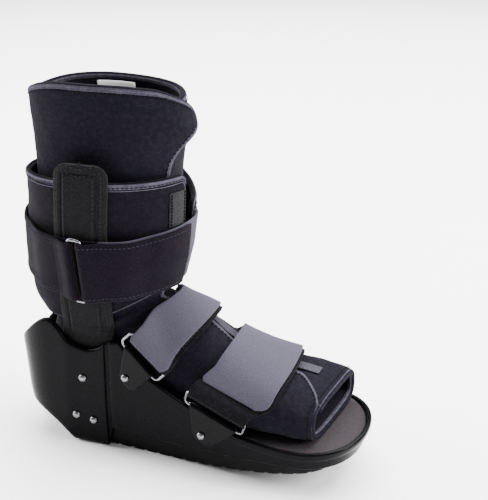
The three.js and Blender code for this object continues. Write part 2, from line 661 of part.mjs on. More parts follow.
// Columns of faces round the wrap, closer together at the two corners.
const wrapStops = () => {
  const corner = [0, 0.1, 0.4, 1].map((share) => share * WRAP_CORNER / wrapPerDegree);
  const from = WRAP_NEAR_EDGE + corner[3];
  const to = WRAP_FAR_EDGE - corner[3];
  const near = corner.slice(0, 3).map((step) => WRAP_NEAR_EDGE + step);
  const far = corner.slice(0, 3).reverse().map((step) => WRAP_FAR_EDGE - step);
  return [...near, ...spread(20).map((t) => mix(from, to, t)), ...far];
};
const wrapSheet = () => {
  const grid = (offset) => wrapStops().map((degrees) => spread(6).map((s) => (
    calfPoint(degrees, mix(wrapBottomAt(degrees), wrapTopAt(degrees), s), offset)
  )));
  return sheetBetween(grid(0), grid(-WRAP_WALL));
};
addPiece('calf_wrap', wrapSheet(), 'wrap');

// Fuzzy patches on the two front ends of the wrap

const PATCH_THICKNESS = 1;
const patchSheet = (fromDegrees, toDegrees, low, high) => {
  const grid = (offset) => spread(3).map((t) => {
    const degrees = mix(fromDegrees, toDegrees, t);
    return spread(3).map((s) => calfPoint(degrees, mix(low, high, s), offset));
  });
  return sheetBetween(grid(TOUCH + PATCH_THICKNESS), grid(TOUCH));
};
const strapTopAtFront = CALF_STRAP_BOTTOM + CALF_STRAP_WIDTH + CALF_STRAP_DIP;
const PATCH_TOP = 226;
addPiece('wrap_patch_near', patchSheet(WRAP_NEAR_EDGE + 2, WRAP_NEAR_EDGE + 16,
  strapTopAtFront + 1, PATCH_TOP), 'patch');
addPiece('wrap_patch_far', patchSheet(WRAP_FAR_EDGE - 14, WRAP_FAR_EDGE - 2,
  strapTopAtFront + 1, WRAP_TOP - WRAP_FAR_DROP - WRAP_CORNER / 2), 'dark_patch');

// Uprights: flat and straight in the shell, then out along the wrap

const uprightBase = floorTop(0) + TOUCH + INSOLE_THICKNESS + TOUCH;
const UPRIGHT_BEND = FRONT_WALL_HEIGHT - 4;
const uprightTopStraight = UPRIGHT_TOP - UPRIGHT_CORNER;
const uprightLevels = [uprightBase, mix(uprightBase, UPRIGHT_BEND, 0.5), UPRIGHT_BEND,
  ...[0, 0.11, 0.22, 0.33, 0.46, 0.6, 0.75, 0.9].map((t) => mix(WRAP_BOTTOM, uprightTopStraight, t)),
  uprightTopStraight];
const UPRIGHT_CLEARANCE = 0.3;
const uprightFace = (x, z) => {
  const row = wrapRowAt(Math.max(z, WRAP_BOTTOM));
  const share = clamp(Math.abs(x - row.middle) / row.long, 0, 1);
  const wrapFace = row.wide * (1 - share ** WRAP_SQUARENESS) ** (1 / WRAP_SQUARENESS);
  const onWrap = wrapFace + GAP + UPRIGHT_CLEARANCE;
  const inShell = shellInnerAt(HEEL_ROUND, TOE_RIM_HEIGHT) - UPRIGHT_THICKNESS - GAP;
  return mix(inShell, onWrap, smooth(UPRIGHT_BEND, WRAP_BOTTOM, z));
};
const uprightSheet = (side) => {
  const straight = uprightLevels.map((z) => [z, 1]);
  const corner = [30, 60, 90].map((degrees) => {
    const a = radians(degrees);
    const half = UPRIGHT_WIDTH / 2;
    return [UPRIGHT_TOP - UPRIGHT_CORNER * (1 - Math.sin(a)),
      (half - UPRIGHT_CORNER * (1 - Math.cos(a))) / half];
  });
  const grid = (offset) => [...straight, ...corner].map(([z, width]) => {
    const middle = UPRIGHT_X + UPRIGHT_LEAN * (z - uprightBase);
    return spread(4).map((t) => {
      const x = middle + (t - 0.5) * UPRIGHT_WIDTH * width;
      return new THREE.Vector3(x, side * (uprightFace(x, z) + offset), z);
    });
  });
  return sheetBetween(grid(UPRIGHT_THICKNESS), grid(0));
};
addPiece('upright_near', uprightSheet(-1), 'upright');
addPiece('upright_far', uprightSheet(1), 'upright');

// Straps
// A band is a surface that a strap lies on: columns of curves side by side, point by point.
// s runs along the middle curve in millimetres, w across it from 0 to 1, h stands off it.

const makeBand = (columns, closed = false) => {
  const curves = columns.map((points) => new THREE.CatmullRomCurve3(points, closed, 'centripetal'));
  for (const curve of curves) {
    curve.arcLengthDivisions = 400;
  }
  const middle = curves[Math.floor(curves.length / 2)];
  const length = middle.getLength();
  const onCurve = (curve, s) => {
    const u = s / length;
    const end = closed ? ((u % 1) + 1) % 1 : clamp(u, 0, 1);
    const t = middle.getUtoTmapping(end);
    const point = curve.getPoint(t);
    return closed ? point : point.addScaledVector(curve.getTangent(t), (u - end) * length);
  };
  const base = (s, w) => {
    const place = clamp(w, 0, 1) * (curves.length - 1);
    const index = clamp(Math.floor(place), 0, curves.length - 2);
    const a = onCurve(curves[index], s);
    const b = onCurve(curves[index + 1], s);
    return a.lerp(b, place - index);
  };
  const at = (s, w, h) => {
    const along = base(s + 0.5, w).sub(base(s - 0.5, w));
    const across = base(s, 1).sub(base(s, 0));
    const normal = across.cross(along).normalize();
    return base(s, w).addScaledVector(normal, h);
  };
  return { at, length };
};

// A sheet of strap whose middle line is a path of [s, h] points.
const strapAlong = (band, path, thickness, widthShare = () => 1) => {
  const sideLine = (side) => path.map(([s, h], index) => {
    const [s0, h0] = path[Math.max(index - 1, 0)];
    const [s1, h1] = path[Math.min(index + 1, path.length - 1)];
    const length = Math.hypot(s1 - s0, h1 - h0);
    const reach = side * thickness / 2;
    return [s - (h1 - h0) / length * reach, h + (s1 - s0) / length * reach];
  });
  const grid = (side) => sideLine(side).map(([s, h], index) => (
    spread(2).map((w) => band.at(s, 0.5 + (w - 0.5) * widthShare(index, path.length), h))
  ));
  return sheetBetween(grid(1), grid(-1));
};

const baseLevel = GAP + STRAP_THICKNESS / 2;
const RING_PLAY = 0.8;
const barLevel = baseLevel + STRAP_THICKNESS / 2 + RING_PLAY + RING_WIRE / 2;
const turnRadius = RING_WIRE / 2 + RING_PLAY + STRAP_THICKNESS / 2;
const turnLevel = barLevel + turnRadius;
const tailLevel = baseLevel + STRAP_THICKNESS + TOUCH;
const overLevel = tailLevel + 0.9;
const overTailLevel = turnLevel + STRAP_THICKNESS + TOUCH;

// Half a turn round a bar at s, from the lower leaf to the upper one. way is +1 or -1 along s.
const TURN_STEPS = 5;
const turnRound = (bar, way) => range(TURN_STEPS + 1).map((index) => {
  const angle = mix(-Math.PI / 2, Math.PI / 2, index / TURN_STEPS);
  return [bar + way * turnRadius * Math.cos(angle), barLevel + turnRadius * Math.sin(angle)];
});
// A stretch at s from a to b whose height eases from one level to another.
const easeRun = (a, b, low, high, steps) => spread(steps).slice(1)
  .map((t) => [mix(a, b, t), mix(low, high, smooth(0, 1, t))]);
// A level stretch from a to b, with stops at whole multiples of one step, so that the leaves of
// two straps bend at the same places.
const STRAP_STEP = 10;
const flatRun = (a, b, level) => {
  const way = Math.sign(b - a);
  const first = Math.ceil(Math.min(a, b) / STRAP_STEP + 0.15);
  const last = Math.floor(Math.max(a, b) / STRAP_STEP - 0.15);
  const stops = range(Math.max(last - first + 1, 0)).map((index) => (first + index) * STRAP_STEP);
  return [...(way > 0 ? stops : stops.reverse()), b].map((s) => [s, level]);
};

// The under strap: a turned end round bar a, and a plain end short of bar b.
const underPath = (a, b) => {
  const way = Math.sign(a - b);
  const tail = easeRun(a, a - way * TURN_TAIL, turnLevel, tailLevel, 3).reverse();
  const turn = turnRound(a, way).reverse();
  const run = flatRun(a, b + way * (TURN_TAIL + 2 * GAP), baseLevel);
  return [...tail, ...turn, ...run];
};
// The strap's returned end: under leaf, turn round bar b, then over the strap to its free end.
const overPath = (a, b, end) => {
  const way = Math.sign(b - a);
  const under = flatRun(b - way * TURN_TAIL, b, baseLevel).slice(0, -1);
  const start = [[b - way * TURN_TAIL, baseLevel]];
  const settle = easeRun(b, b - way * TURN_TAIL * 1.3, turnLevel, overLevel, 3);
  const covers = Math.abs(end - a) < TURN_TAIL;
  const climb = a + way * TURN_TAIL * 2.4;
  const over = covers
    ? [...flatRun(b - way * TURN_TAIL * 1.3, climb, overLevel),
      ...easeRun(climb, a + way * TURN_TAIL * 1.1, overLevel, overTailLevel, 3),
      ...flatRun(a + way * TURN_TAIL * 1.1, end, overTailLevel)]
    : flatRun(b - way * TURN_TAIL * 1.3, end, overLevel);
  return [...start, ...under, ...turnRound(b, way), ...settle, ...over];
};

// A rectangular wire ring with round corners, in the plane of the axes given.
const ringSolid = (centre, longAxis, shortAxis, longSpan, shortSpan) => {
  const normal = new THREE.Vector3().crossVectors(longAxis, shortAxis).normalize();
  const corners = [[1, 1, 0], [-1, 1, 90], [-1, -1, 180], [1, -1, 270]];
  const path = corners.flatMap(([sx, sy, start]) => spread(2).map((t) => {
    const angle = radians(start + 90 * t);
    const a = sx * (longSpan / 2 - RING_CORNER) + RING_CORNER * Math.cos(angle);
    const b = sy * (shortSpan / 2 - RING_CORNER) + RING_CORNER * Math.sin(angle);
    const outward = new THREE.Vector3().addScaledVector(longAxis, Math.cos(angle))
      .addScaledVector(shortAxis, Math.sin(angle));
    const place = centre.clone().addScaledVector(longAxis, a).addScaledVector(shortAxis, b);
    return { place, outward };
  }));
  const points = path.flatMap(({ place, outward }) => range(RING_SIDES).map((side) => {
    const angle = 2 * Math.PI * side / RING_SIDES;
    return place.clone().addScaledVector(outward, RING_WIRE / 2 * Math.cos(angle))
      .addScaledVector(normal, RING_WIRE / 2 * Math.sin(angle));
  }));
  const triangles = [];
  for (let i = 0; i < path.length; i += 1) {
    for (let j = 0; j < RING_SIDES; j += 1) {
      const [ni, nj] = [(i + 1) % path.length, (j + 1) % RING_SIDES];
      const here = i * RING_SIDES;
      const next = ni * RING_SIDES;
      triangles.push([here + j, next + j, next + nj], [here + j, next + nj, here + nj]);
    }
  }
  return solidFrom(points, triangles);
};

// The ring whose bar lies on a band at barS, its other bar at span beyond along s.
const ringOnBand = (band, barS, span, strapWidth) => {
  const a = band.at(barS, 0.5, barLevel);
  const b = band.at(barS + span, 0.5, barLevel);
  const shortAxis = b.clone().sub(a).normalize();
  const across = band.at(barS, 1, barLevel).sub(band.at(barS, 0, barLevel));
  const longAxis = across.addScaledVector(shortAxis, -across.dot(shortAxis)).normalize();
  const longSpan = strapWidth + RING_WIRE + 2 * GAP + RING_CORNER / 2;
  return ringSolid(a.lerp(b, 0.5), longAxis, shortAxis, longSpan, Math.abs(span));
};

// Calf straps: one closed band round the leg, starting at the middle of the near side.

// How far the band stands off the wrap, beside the uprights and over them.
const CALF_STRAP_LIFT = 0.9;
// Near the rings the band is straight across; ringZone is the cosine where that ends.
const ringZone = { from: 0.16, to: 0.4 };
const calfRung = (degrees, w) => {
  const cosine = Math.cos(radians(degrees));
  const rise = CALF_STRAP_DIP * cosine * cosine;
  const overUpright = 1 - smooth(0.42, 0.72, Math.abs(cosine));
  const lift = CALF_STRAP_LIFT + (UPRIGHT_THICKNESS + GAP) * overUpright;
  return calfPoint(degrees, CALF_STRAP_BOTTOM + rise + (1 - w) * CALF_STRAP_WIDTH, lift);
};
const calfStrapColumns = () => spread(2).map((w) => range(64).map((index) => {
  const degrees = 90 - index * 360 / 64;
  const side = index > 16 && index < 48 ? -90 : 90;
  const atRing = calfRung(side, 1).sub(calfRung(side, 0));
  atRing.x = 0;
  const straight = calfRung(degrees, 0.5).addScaledVector(atRing, w - 0.5);
  const free = smooth(ringZone.from, ringZone.to, Math.abs(Math.cos(radians(degrees))));
  return straight.lerp(calfRung(degrees, w), free);
}));
const calfBand = makeBand(calfStrapColumns(), true);
const halfRound = calfBand.length / 2;
const ringHalf = CALF_RING_SPAN / 2;
const STRAP_FRONT_END = 0.213;

const calfBase = strapAlong(calfBand, underPath(halfRound - ringHalf, ringHalf), STRAP_THICKNESS);
addPiece('calf_strap_base', calfBase, 'pad');
const frontEnd = ringHalf + STRAP_FRONT_END * calfBand.length;
const calfStrap = strapAlong(calfBand,
  overPath(halfRound - ringHalf, ringHalf, frontEnd), STRAP_THICKNESS);
addPiece('calf_strap', calfStrap, 'strap');

const backPath = () => {
  const nearBar = calfBand.length - ringHalf;
  const farBar = halfRound + ringHalf;
  const nearTail = easeRun(nearBar, nearBar - TURN_TAIL, turnLevel, tailLevel, 3);
  const farTail = easeRun(farBar, farBar + TURN_TAIL, turnLevel, tailLevel, 3).reverse();
  return [...farTail, ...turnRound(farBar, -1).reverse(),
    ...flatRun(farBar, nearBar, baseLevel).slice(0, -1), ...turnRound(nearBar, 1), ...nearTail];
};
addPiece('calf_back_strap', strapAlong(calfBand, backPath(), STRAP_THICKNESS), 'strap');
addPiece('calf_ring_near', ringOnBand(calfBand, -ringHalf, CALF_RING_SPAN, CALF_STRAP_WIDTH), 'chrome');
addPiece('calf_ring_far',
  ringOnBand(calfBand, halfRound - ringHalf, CALF_RING_SPAN, CALF_STRAP_WIDTH), 'chrome');

// Foot straps
// The lower bar of each ring lies just over the shell's sloping edge, held by a tab that
// straddles the wall. edgeFrom and edgeTo: where the bar's ends are, shares of the shell length.
// topFrom and topTo: rows of the liner under the strap's two edges at the ridge.
// sideFrom and sideTo: the same at the sides. standFrom and standTo: how far each edge stands off
// the liner.
const FOOT_STRAPS = [
  {
    name: 'instep', width: INSTEP_STRAP_WIDTH, edgeFrom: 0.3405, edgeTo: 0.4366,
    topFrom: 10.6, topTo: 15.7, sideFrom: 10.4, sideTo: 15.2, standFrom: 1.0, standTo: 3.5,
    rivetX: 0.3565, rivetHeight: 0.77,
  },
  {
    name: 'forefoot', width: FOREFOOT_STRAP_WIDTH, edgeFrom: 0.539, edgeTo: 0.68,
    topFrom: 17.7, topTo: 20.4, sideFrom: 17.4, sideTo: 20.0, standFrom: 1.0, standTo: 1.6,
    rivetX: 0.5825, rivetHeight: 0.68,
  },
];
const BAR_OVER_EDGE = 2.4;

const wallMiddle = (x, z) => halfWidthAt(x) - flareAt(z) - SHELL_WALL / 2;

// The line of the lower bar on one side, as two end points.
const lowerBar = (strap, side) => {
  const ends = [strap.edgeFrom, strap.edgeTo].map((share) => {
    const x = share * SHELL_LENGTH;
    return { x, z: wallTopAt(x) };
  });
  const run = new THREE.Vector2(ends[1].x - ends[0].x, ends[1].z - ends[0].z).normalize();
  const up = new THREE.Vector2(-run.y, run.x);
  return ends.map(({ x, z }) => {
    const px = x + up.x * BAR_OVER_EDGE;
    const pz = z + up.y * BAR_OVER_EDGE;
    return new THREE.Vector3(px, side * wallMiddle(px, pz), pz);
  });
};
// Points on the liner under one edge line of a strap, from low on the side up to the ridge.
const CONTACT_ANGLES = spread(40).map((t) => mix(84, 4, t));
const contactPoints = (strap, w) => CONTACT_ANGLES.map((degrees) => {
  const sideShare = Math.sin(radians(degrees)) ** 2;
  const from = mix(strap.topFrom, strap.sideFrom, sideShare);
  const to = mix(strap.topTo, strap.sideTo, sideShare);
  const stand = mix(strap.standFrom, strap.standTo, w);
  return sectionPoint(sectionAt(mix(from, to, w)), degrees, stand);
});
// A strap pulled tight leaves its start along the steepest line to any of the points.
const tautFrom = (start, points) => {
  const steepness = points.map((point) => (point.z - start.z) / Math.max(point.y - start.y, 0.01));
  return points.slice(steepness.indexOf(Math.max(...steepness)));
};
// Directions at the near ring: along its bars, up the strap, and away from the foot.
const ringFrame = (strap) => {
  const [a, b] = lowerBar(strap, -1);
  const run = b.clone().sub(a).normalize();
  const up = new THREE.Vector3();
  for (const w of [0, 0.5, 1]) {
    const start = a.clone().lerp(b, w);
    const [first] = tautFrom(start, contactPoints(strap, w));
    up.add(first.clone().sub(start).normalize());
  }
  up.addScaledVector(run, -up.dot(run)).normalize();
  const outward = new THREE.Vector3().crossVectors(up, run).normalize();
  return { run, up, outward, middle: a.clone().add(b).multiplyScalar(0.5) };
};
const LEAD = 4;
const BAND_STOPS = 16;
const footBand = (strap) => {
  const { run, up, outward, middle } = ringFrame(strap);
  const columns = spread(4).map((w) => {
    const bar = middle.clone().addScaledVector(run, (w - 0.5) * strap.width)
      .addScaledVector(up, FOOT_RING_SPAN).addScaledVector(outward, -barLevel);
    const lead = bar.clone().addScaledVector(up, LEAD);
    const contacts = tautFrom(lead, contactPoints(strap, w));
    const straight = spread(5).slice(0, -1).map((t) => lead.clone().lerp(contacts[0], t));
    const near = [...straight, ...contacts];
    const mirrored = (point) => new THREE.Vector3(point.x, -point.y, point.z);
    const over = new THREE.CatmullRomCurve3(
      [...near, ...near.map(mirrored).reverse()], false, 'centripetal');
    return [bar, ...over.getSpacedPoints(BAND_STOPS), mirrored(bar)];
  });
  return makeBand(columns);
};

const rivetPlace = (strap) => {
  const x = strap.rivetX * SHELL_LENGTH;
  return { x, z: wallTopAt(x) * strap.rivetHeight };
};

const tabSheet = (strap, side) => {
  const [a, b] = lowerBar(strap, side);
  const run = b.clone().sub(a).normalize();
  const down = new THREE.Vector3(run.z, 0, -run.x);
  const rivet = rivetPlace(strap);
  const inner = SHELL_WALL / 2 + GAP;
  const middleLine = inner + TAB_THICKNESS / 2;
  // Path across the wall: [distance down from the bar, distance from the wall's middle].
  const legIn = 5;
  const path = [
    { down: legIn, out: -middleLine }, { down: legIn / 2, out: -middleLine },
    ...spread(4).map((t) => {
      const angle = mix(-Math.PI / 2, Math.PI / 2, t);
      return { down: -middleLine * Math.cos(angle), out: middleLine * Math.sin(angle) };
    }),
    ...spread(4).slice(1).map((t) => ({ share: t, out: middleLine })),
  ];
  const ringMiddle = a.clone().add(b).multiplyScalar(0.5);
  const foot = { x: rivet.x, z: rivet.z - RIVET_RADIUS * 1.7 };
  const place = (row, t, shift) => {
    const topX = ringMiddle.x + run.x * (t - 0.5) * (strap.width - 2 * TAB_INSET);
    const topZ = ringMiddle.z + run.z * (t - 0.5) * (strap.width - 2 * TAB_INSET);
    const footX = foot.x + run.x * (t - 0.5) * TAB_FOOT_WIDTH;
    const footZ = foot.z + run.z * (t - 0.5) * TAB_FOOT_WIDTH;
    const share = row.share ?? 0;
    const drop = row.down ?? 0;
    return [mix(topX, footX, share) + down.x * (drop + shift.down),
      mix(topZ, footZ, share) + down.z * (drop + shift.down), row.out + shift.out];
  };
  const fallOf = (row) => (row.share ? 20 * row.share : row.down);
  const grid = (face) => path.map((row, index) => {
    const before = path[Math.max(index - 1, 0)];
    const after = path[Math.min(index + 1, path.length - 1)];
    const fall = fallOf(after) - fallOf(before);
    const widen = after.out - before.out;
    const reach = face * TAB_THICKNESS / 2 / Math.hypot(fall, widen);
    const shift = { down: -widen * reach, out: fall * reach };
    return spread(4).map((t) => {
      const [x, z, out] = place(row, t, shift);
      return new THREE.Vector3(x, side * (wallMiddle(x, z) + out), z);
    });
  });
  return sheetBetween(grid(1), grid(-1));
};

// A domed head, flat at its back, on the shell's side at a place and a distance off the wall.
const rivetHead = (x, z, side, off) => {
  const profile = [new THREE.Vector2(0, 0), new THREE.Vector2(RIVET_RADIUS, 0),
    ...[0.33, 0.67].map((t) => {
      const angle = t * Math.PI / 2;
      return new THREE.Vector2(RIVET_RADIUS * Math.cos(angle), RIVET_HEIGHT * Math.sin(angle));
    }), new THREE.Vector2(0, RIVET_HEIGHT)];
  const head = new THREE.LatheGeometry(profile, RIVET_SIDES);
  head.deleteAttribute('normal');
  head.deleteAttribute('uv');
  const merged = mergeVertices(head, 1e-4);
  const alongX = (shellFaceAt(x + 1, z) - shellFaceAt(x - 1, z)) / 2;
  const alongZ = (shellFaceAt(x, z + 1) - shellFaceAt(x, z - 1)) / 2;
  const outward = new THREE.Vector3(-alongX, side, -alongZ).normalize();
  const turn = new THREE.Quaternion().setFromUnitVectors(new THREE.Vector3(0, 1, 0), outward);
  merged.applyQuaternion(turn);
  merged.translate(x + outward.x * off, side * shellFaceAt(x, z) + outward.y * off, z + outward.z * off);
  return merged;
};

for (const strap of FOOT_STRAPS) {
  const band = footBand(strap);
  const far = band.length;
  addPiece(`${strap.name}_strap`,
    strapAlong(band, underPath(0, far), STRAP_THICKNESS), 'strap');
  const clipped = (index, count) => (index >= count - 1 ? 0.82 : 1);
  addPiece(`${strap.name}_pad`,
    strapAlong(band, overPath(0, far, -5), STRAP_THICKNESS, clipped), 'pad');
  for (const [label, side] of [['near', -1], ['far', 1]]) {
    const barS = side < 0 ? 0 : far;
    const bar = band.at(barS, 0.5, barLevel);
    const [lowFrom, lowTo] = lowerBar(strap, side);
    const target = lowFrom.clone().lerp(lowTo, 0.5);
    const longAxis = band.at(barS, 1, barLevel).sub(band.at(barS, 0, barLevel)).normalize();
    const shortAxis = target.sub(bar);
    shortAxis.addScaledVector(longAxis, -shortAxis.dot(longAxis));
    const span = shortAxis.length();
    shortAxis.normalize();
    const centre = bar.addScaledVector(shortAxis, span / 2);
    const longSpan = strap.width + RING_WIRE + 2 * GAP + RING_CORNER / 2;
    addPiece(`${strap.name}_ring_${label}`,
      ringSolid(centre, longAxis, shortAxis, longSpan, span), 'chrome');
    addPiece(`${strap.name}_tab_${label}`, tabSheet(strap, side), 'tab');
    const { x, z } = rivetPlace(strap);
    addPiece(`${strap.name}_rivet_${label}`,
      rivetHead(x, z, side, GAP + TAB_THICKNESS + TOUCH), 'rivet');
  }
}

// Rivets on the shell's columns. x: share of the shell length, z: share of the valley's height.
const COLUMN_RIVETS = [
  { x: 0.227, z: 0.705 },
  { x: 0.2005, z: 0.3 },
  { x: 0.253, z: 0.275 },
];
for (const [label, side] of [['near', -1], ['far', 1]]) {
  COLUMN_RIVETS.forEach((row, index) => {
    addPiece(`column_rivet_${label}_${index + 1}`,
      rivetHead(row.x * SHELL_LENGTH, row.z * VALLEY_HEIGHT, side, TOUCH), 'rivet');
  });
}

// The origin is the middle of the flat stretch that the outsole stands on.
const standMiddle = (STAND_FROM + STAND_TO) / 2;
boot.position.set(-standMiddle, 0, 0);

export default boot;
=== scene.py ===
"""Medical walking boot: the looks of each piece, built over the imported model.

Lengths inside the shape functions are millimetres from the back of the heel; on_frame turns them
into metres in the model's own frame. x runs to the toe, y to the far side, z up.
"""

import math

import bpy
import numpy as np
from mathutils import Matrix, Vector


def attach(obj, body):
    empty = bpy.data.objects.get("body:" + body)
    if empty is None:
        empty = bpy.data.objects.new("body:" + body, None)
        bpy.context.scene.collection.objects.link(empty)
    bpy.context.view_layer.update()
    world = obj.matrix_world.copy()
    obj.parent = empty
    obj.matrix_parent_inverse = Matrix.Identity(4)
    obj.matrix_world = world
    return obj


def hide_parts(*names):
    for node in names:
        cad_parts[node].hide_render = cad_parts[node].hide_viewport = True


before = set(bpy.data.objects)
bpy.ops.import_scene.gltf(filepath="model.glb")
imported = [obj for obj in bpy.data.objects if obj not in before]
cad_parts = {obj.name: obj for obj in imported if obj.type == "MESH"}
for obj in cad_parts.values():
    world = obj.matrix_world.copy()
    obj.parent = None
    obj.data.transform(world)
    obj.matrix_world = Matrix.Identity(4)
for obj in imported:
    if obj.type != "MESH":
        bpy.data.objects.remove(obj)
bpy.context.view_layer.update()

bl_info = {
    "name": "Walking boot",
    "version": (1, 0, 0),
    "blender": (4, 5, 0),
    "location": "View3D > Sidebar > Walking boot",
    "description": "Builds the pieces of a medical walking boot and its studio",
    "category": "Object",
}

STAND_MIDDLE = 90.0
TAU = 2 * math.pi
SIDES = (("near", -1), ("far", 1))


# ---------------------------------------------------------------- settings


def colour_property(name, description, value):
    """A colour setting, given as screen colours from 0 to 1."""
    return bpy.props.FloatVectorProperty(
        name=name, description=description, default=value, subtype="COLOR", size=3, min=0, max=1)


class BootSettings(bpy.types.PropertyGroup):
    liner: colour_property("Liner", "Colour of the padded liner", (0.060, 0.056, 0.080))
    wrap: colour_property("Calf wrap", "Colour of the calf wrap", (0.052, 0.042, 0.063))
    calf: colour_property("Calf strap", "Colour of the pile straps round the calf", (0.034, 0.022, 0.043))
    pad: colour_property("Pads", "Colour of the grey foot pads", (0.226, 0.218, 0.256))
    webbing: colour_property("Webbing", "Colour of the dark straps", (0.048, 0.047, 0.056))
    sleeve: colour_property("Upright sleeve", "Colour of the uprights' sleeves", (0.056, 0.055, 0.059))
    binding: colour_property("Binding", "Colour of the bound edges", (0.190, 0.182, 0.215))
    piping: colour_property("Piping", "Colour of the light lines and stitches", (0.250, 0.243, 0.285))
    shell: colour_property("Shell", "Colour of the moulded shell", (0.016, 0.015, 0.023))
    outsole: colour_property("Outsole", "Colour of the rubber sole", (0.022, 0.021, 0.025))
    insole: colour_property("Insole", "Colour of the foam insole", (0.165, 0.151, 0.162))
    metal_roughness: bpy.props.FloatProperty(
        name="Ring roughness", description="How dull the steel rings are", default=0.16, min=0.02, max=1,
        subtype="FACTOR")
    binding_width: bpy.props.FloatProperty(
        name="Binding width", description="Width of the tape that binds the edges", default=0.0052,
        min=0.002, max=0.012, unit="LENGTH")
    stitch_pitch: bpy.props.FloatProperty(
        name="Stitch pitch", description="Distance from one stitch to the next", default=0.0034,
        min=0.002, max=0.01, unit="LENGTH")
    fold_depth: bpy.props.FloatProperty(
        name="Fold depth", description="Depth of the creases at the ankle", default=0.0016,
        min=0, max=0.004, unit="LENGTH")
    floor: colour_property("Floor", "Colour of the studio floor", (0.985, 0.985, 0.987))
    light: bpy.props.FloatProperty(
        name="Light", description="Strength of the studio light", default=1.0, min=0.1, max=5)


def settings():
    return bpy.context.scene.walking_boot


def linear(colour):
    """Screen colour to the renderer's linear colour."""
    values = [c / 12.92 if c <= 0.04045 else ((c + 0.055) / 1.055) ** 2.4 for c in colour]
    return (*values, 1.0)


# ---------------------------------------------------------------- numbers and grids


def mix(a, b, t):
    return a + (b - a) * t


def smooth(a, b, value):
    """0 below a, 1 above b, an S curve between them."""
    t = np.clip((np.asarray(value, float) - a) / (b - a), 0, 1)
    return t * t * (3 - 2 * t)


def signed_power(value, power):
    return np.sign(value) * np.abs(value) ** power


def unit(vectors):
    return vectors / np.maximum(np.linalg.norm(vectors, axis=-1, keepdims=True), 1e-9)


def through_rows(rows, place):
    """Values at fractional row numbers of a table, on the uniform Catmull-Rom curve through it."""
    rows = np.asarray(rows, float)
    place = np.asarray(place, float)
    index = np.clip(np.floor(place).astype(int), 0, len(rows) - 2)
    t = (place - index)[..., None]
    a, b, c, d = (rows[np.clip(index + k, 0, len(rows) - 1)] for k in (-1, 0, 1, 2))
    return 0.5 * (2 * b + (c - a) * t + (2 * a - 5 * b + 4 * c - d) * t ** 2
                  + (3 * b - a - 3 * c + d) * t ** 3)


def grid_normals(grid):
    """Unit normals of a grid of points: the cross product of its two directions."""
    return unit(np.cross(np.gradient(grid, axis=0), np.gradient(grid, axis=1)))


def normals_toward(grid, row, column, way):
    """Normals of a grid, turned so that the one at that row and column looks along way."""
    normals = grid_normals(grid)
    return normals if np.dot(normals[row, column], way) >= 0 else -normals


def ripple(points, size, seed):
    """Smooth uneven value from -1 to 1: the mean of six slanted waves of about one size."""
    turns = np.random.default_rng(seed)
    total = 0
    for _ in range(6):
        way = unit(turns.normal(size=3))
        total = total + np.sin(points @ way * TAU / (size * turns.uniform(0.7, 1.4)) + turns.uniform(0, TAU))
    return total / 6


def along(line):
    """Distance travelled along a line of points."""
    return np.concatenate([[0], np.cumsum(np.linalg.norm(np.diff(line, axis=0), axis=1))])


def resample(line, distances, *others):
    """Points of a line at the given distances, with other columns read at the same places."""
    travelled = along(line)
    return [np.stack([np.interp(distances, travelled, part[:, k]) for k in range(3)], -1)
            for part in (line, *others)]


def inset_line(grid, normals, distance):
    """The line at one distance in from the grid's first row, and the normals along it."""
    steps = np.linalg.norm(np.diff(grid, axis=0), axis=2)
    travelled = np.concatenate([np.zeros((1, grid.shape[1])), np.cumsum(steps, axis=0)])
    row = np.clip((travelled < distance).sum(axis=0) - 1, 0, len(grid) - 2)
    column = np.arange(grid.shape[1])
    low, high = travelled[row, column], travelled[row + 1, column]
    t = np.clip((distance - low) / np.maximum(high - low, 1e-6), 0, 1)[:, None]
    line, up = (mix(part[row, column], part[row + 1, column], t) for part in (grid, normals))
    return line, unit(up)


def long_sides(grid, normals):
    """A grid and its normals turned so that each long side in turn is the first row."""
    grid, normals = grid.transpose(1, 0, 2), normals.transpose(1, 0, 2)
    return (grid, normals), (grid[::-1], normals[::-1])


def raised_line(grid, normals, inset, height, cut=slice(None)):
    """The line at one inset from the first row, raised off the grid, and its normals."""
    line, up = inset_line(grid, normals, inset)
    return (line + up * height)[cut], up[cut]


# ---------------------------------------------------------------- meshes


def on_frame(points):
    """Millimetres from the heel's back to metres from the middle of the standing face."""
    return (np.asarray(points, float).reshape(-1, 3) - (STAND_MIDDLE, 0, 0)) * 0.001


def volume(points, faces):
    """Signed volume inside faces that are fans of triangles from their first corner."""
    total = 0.0
    for group in faces:
        for k in range(1, group.shape[1] - 1):
            a, b, c = points[group[:, 0]], points[group[:, k]], points[group[:, k + 1]]
            total += float(np.einsum("ij,ij->", a, np.cross(b, c)))
    return total


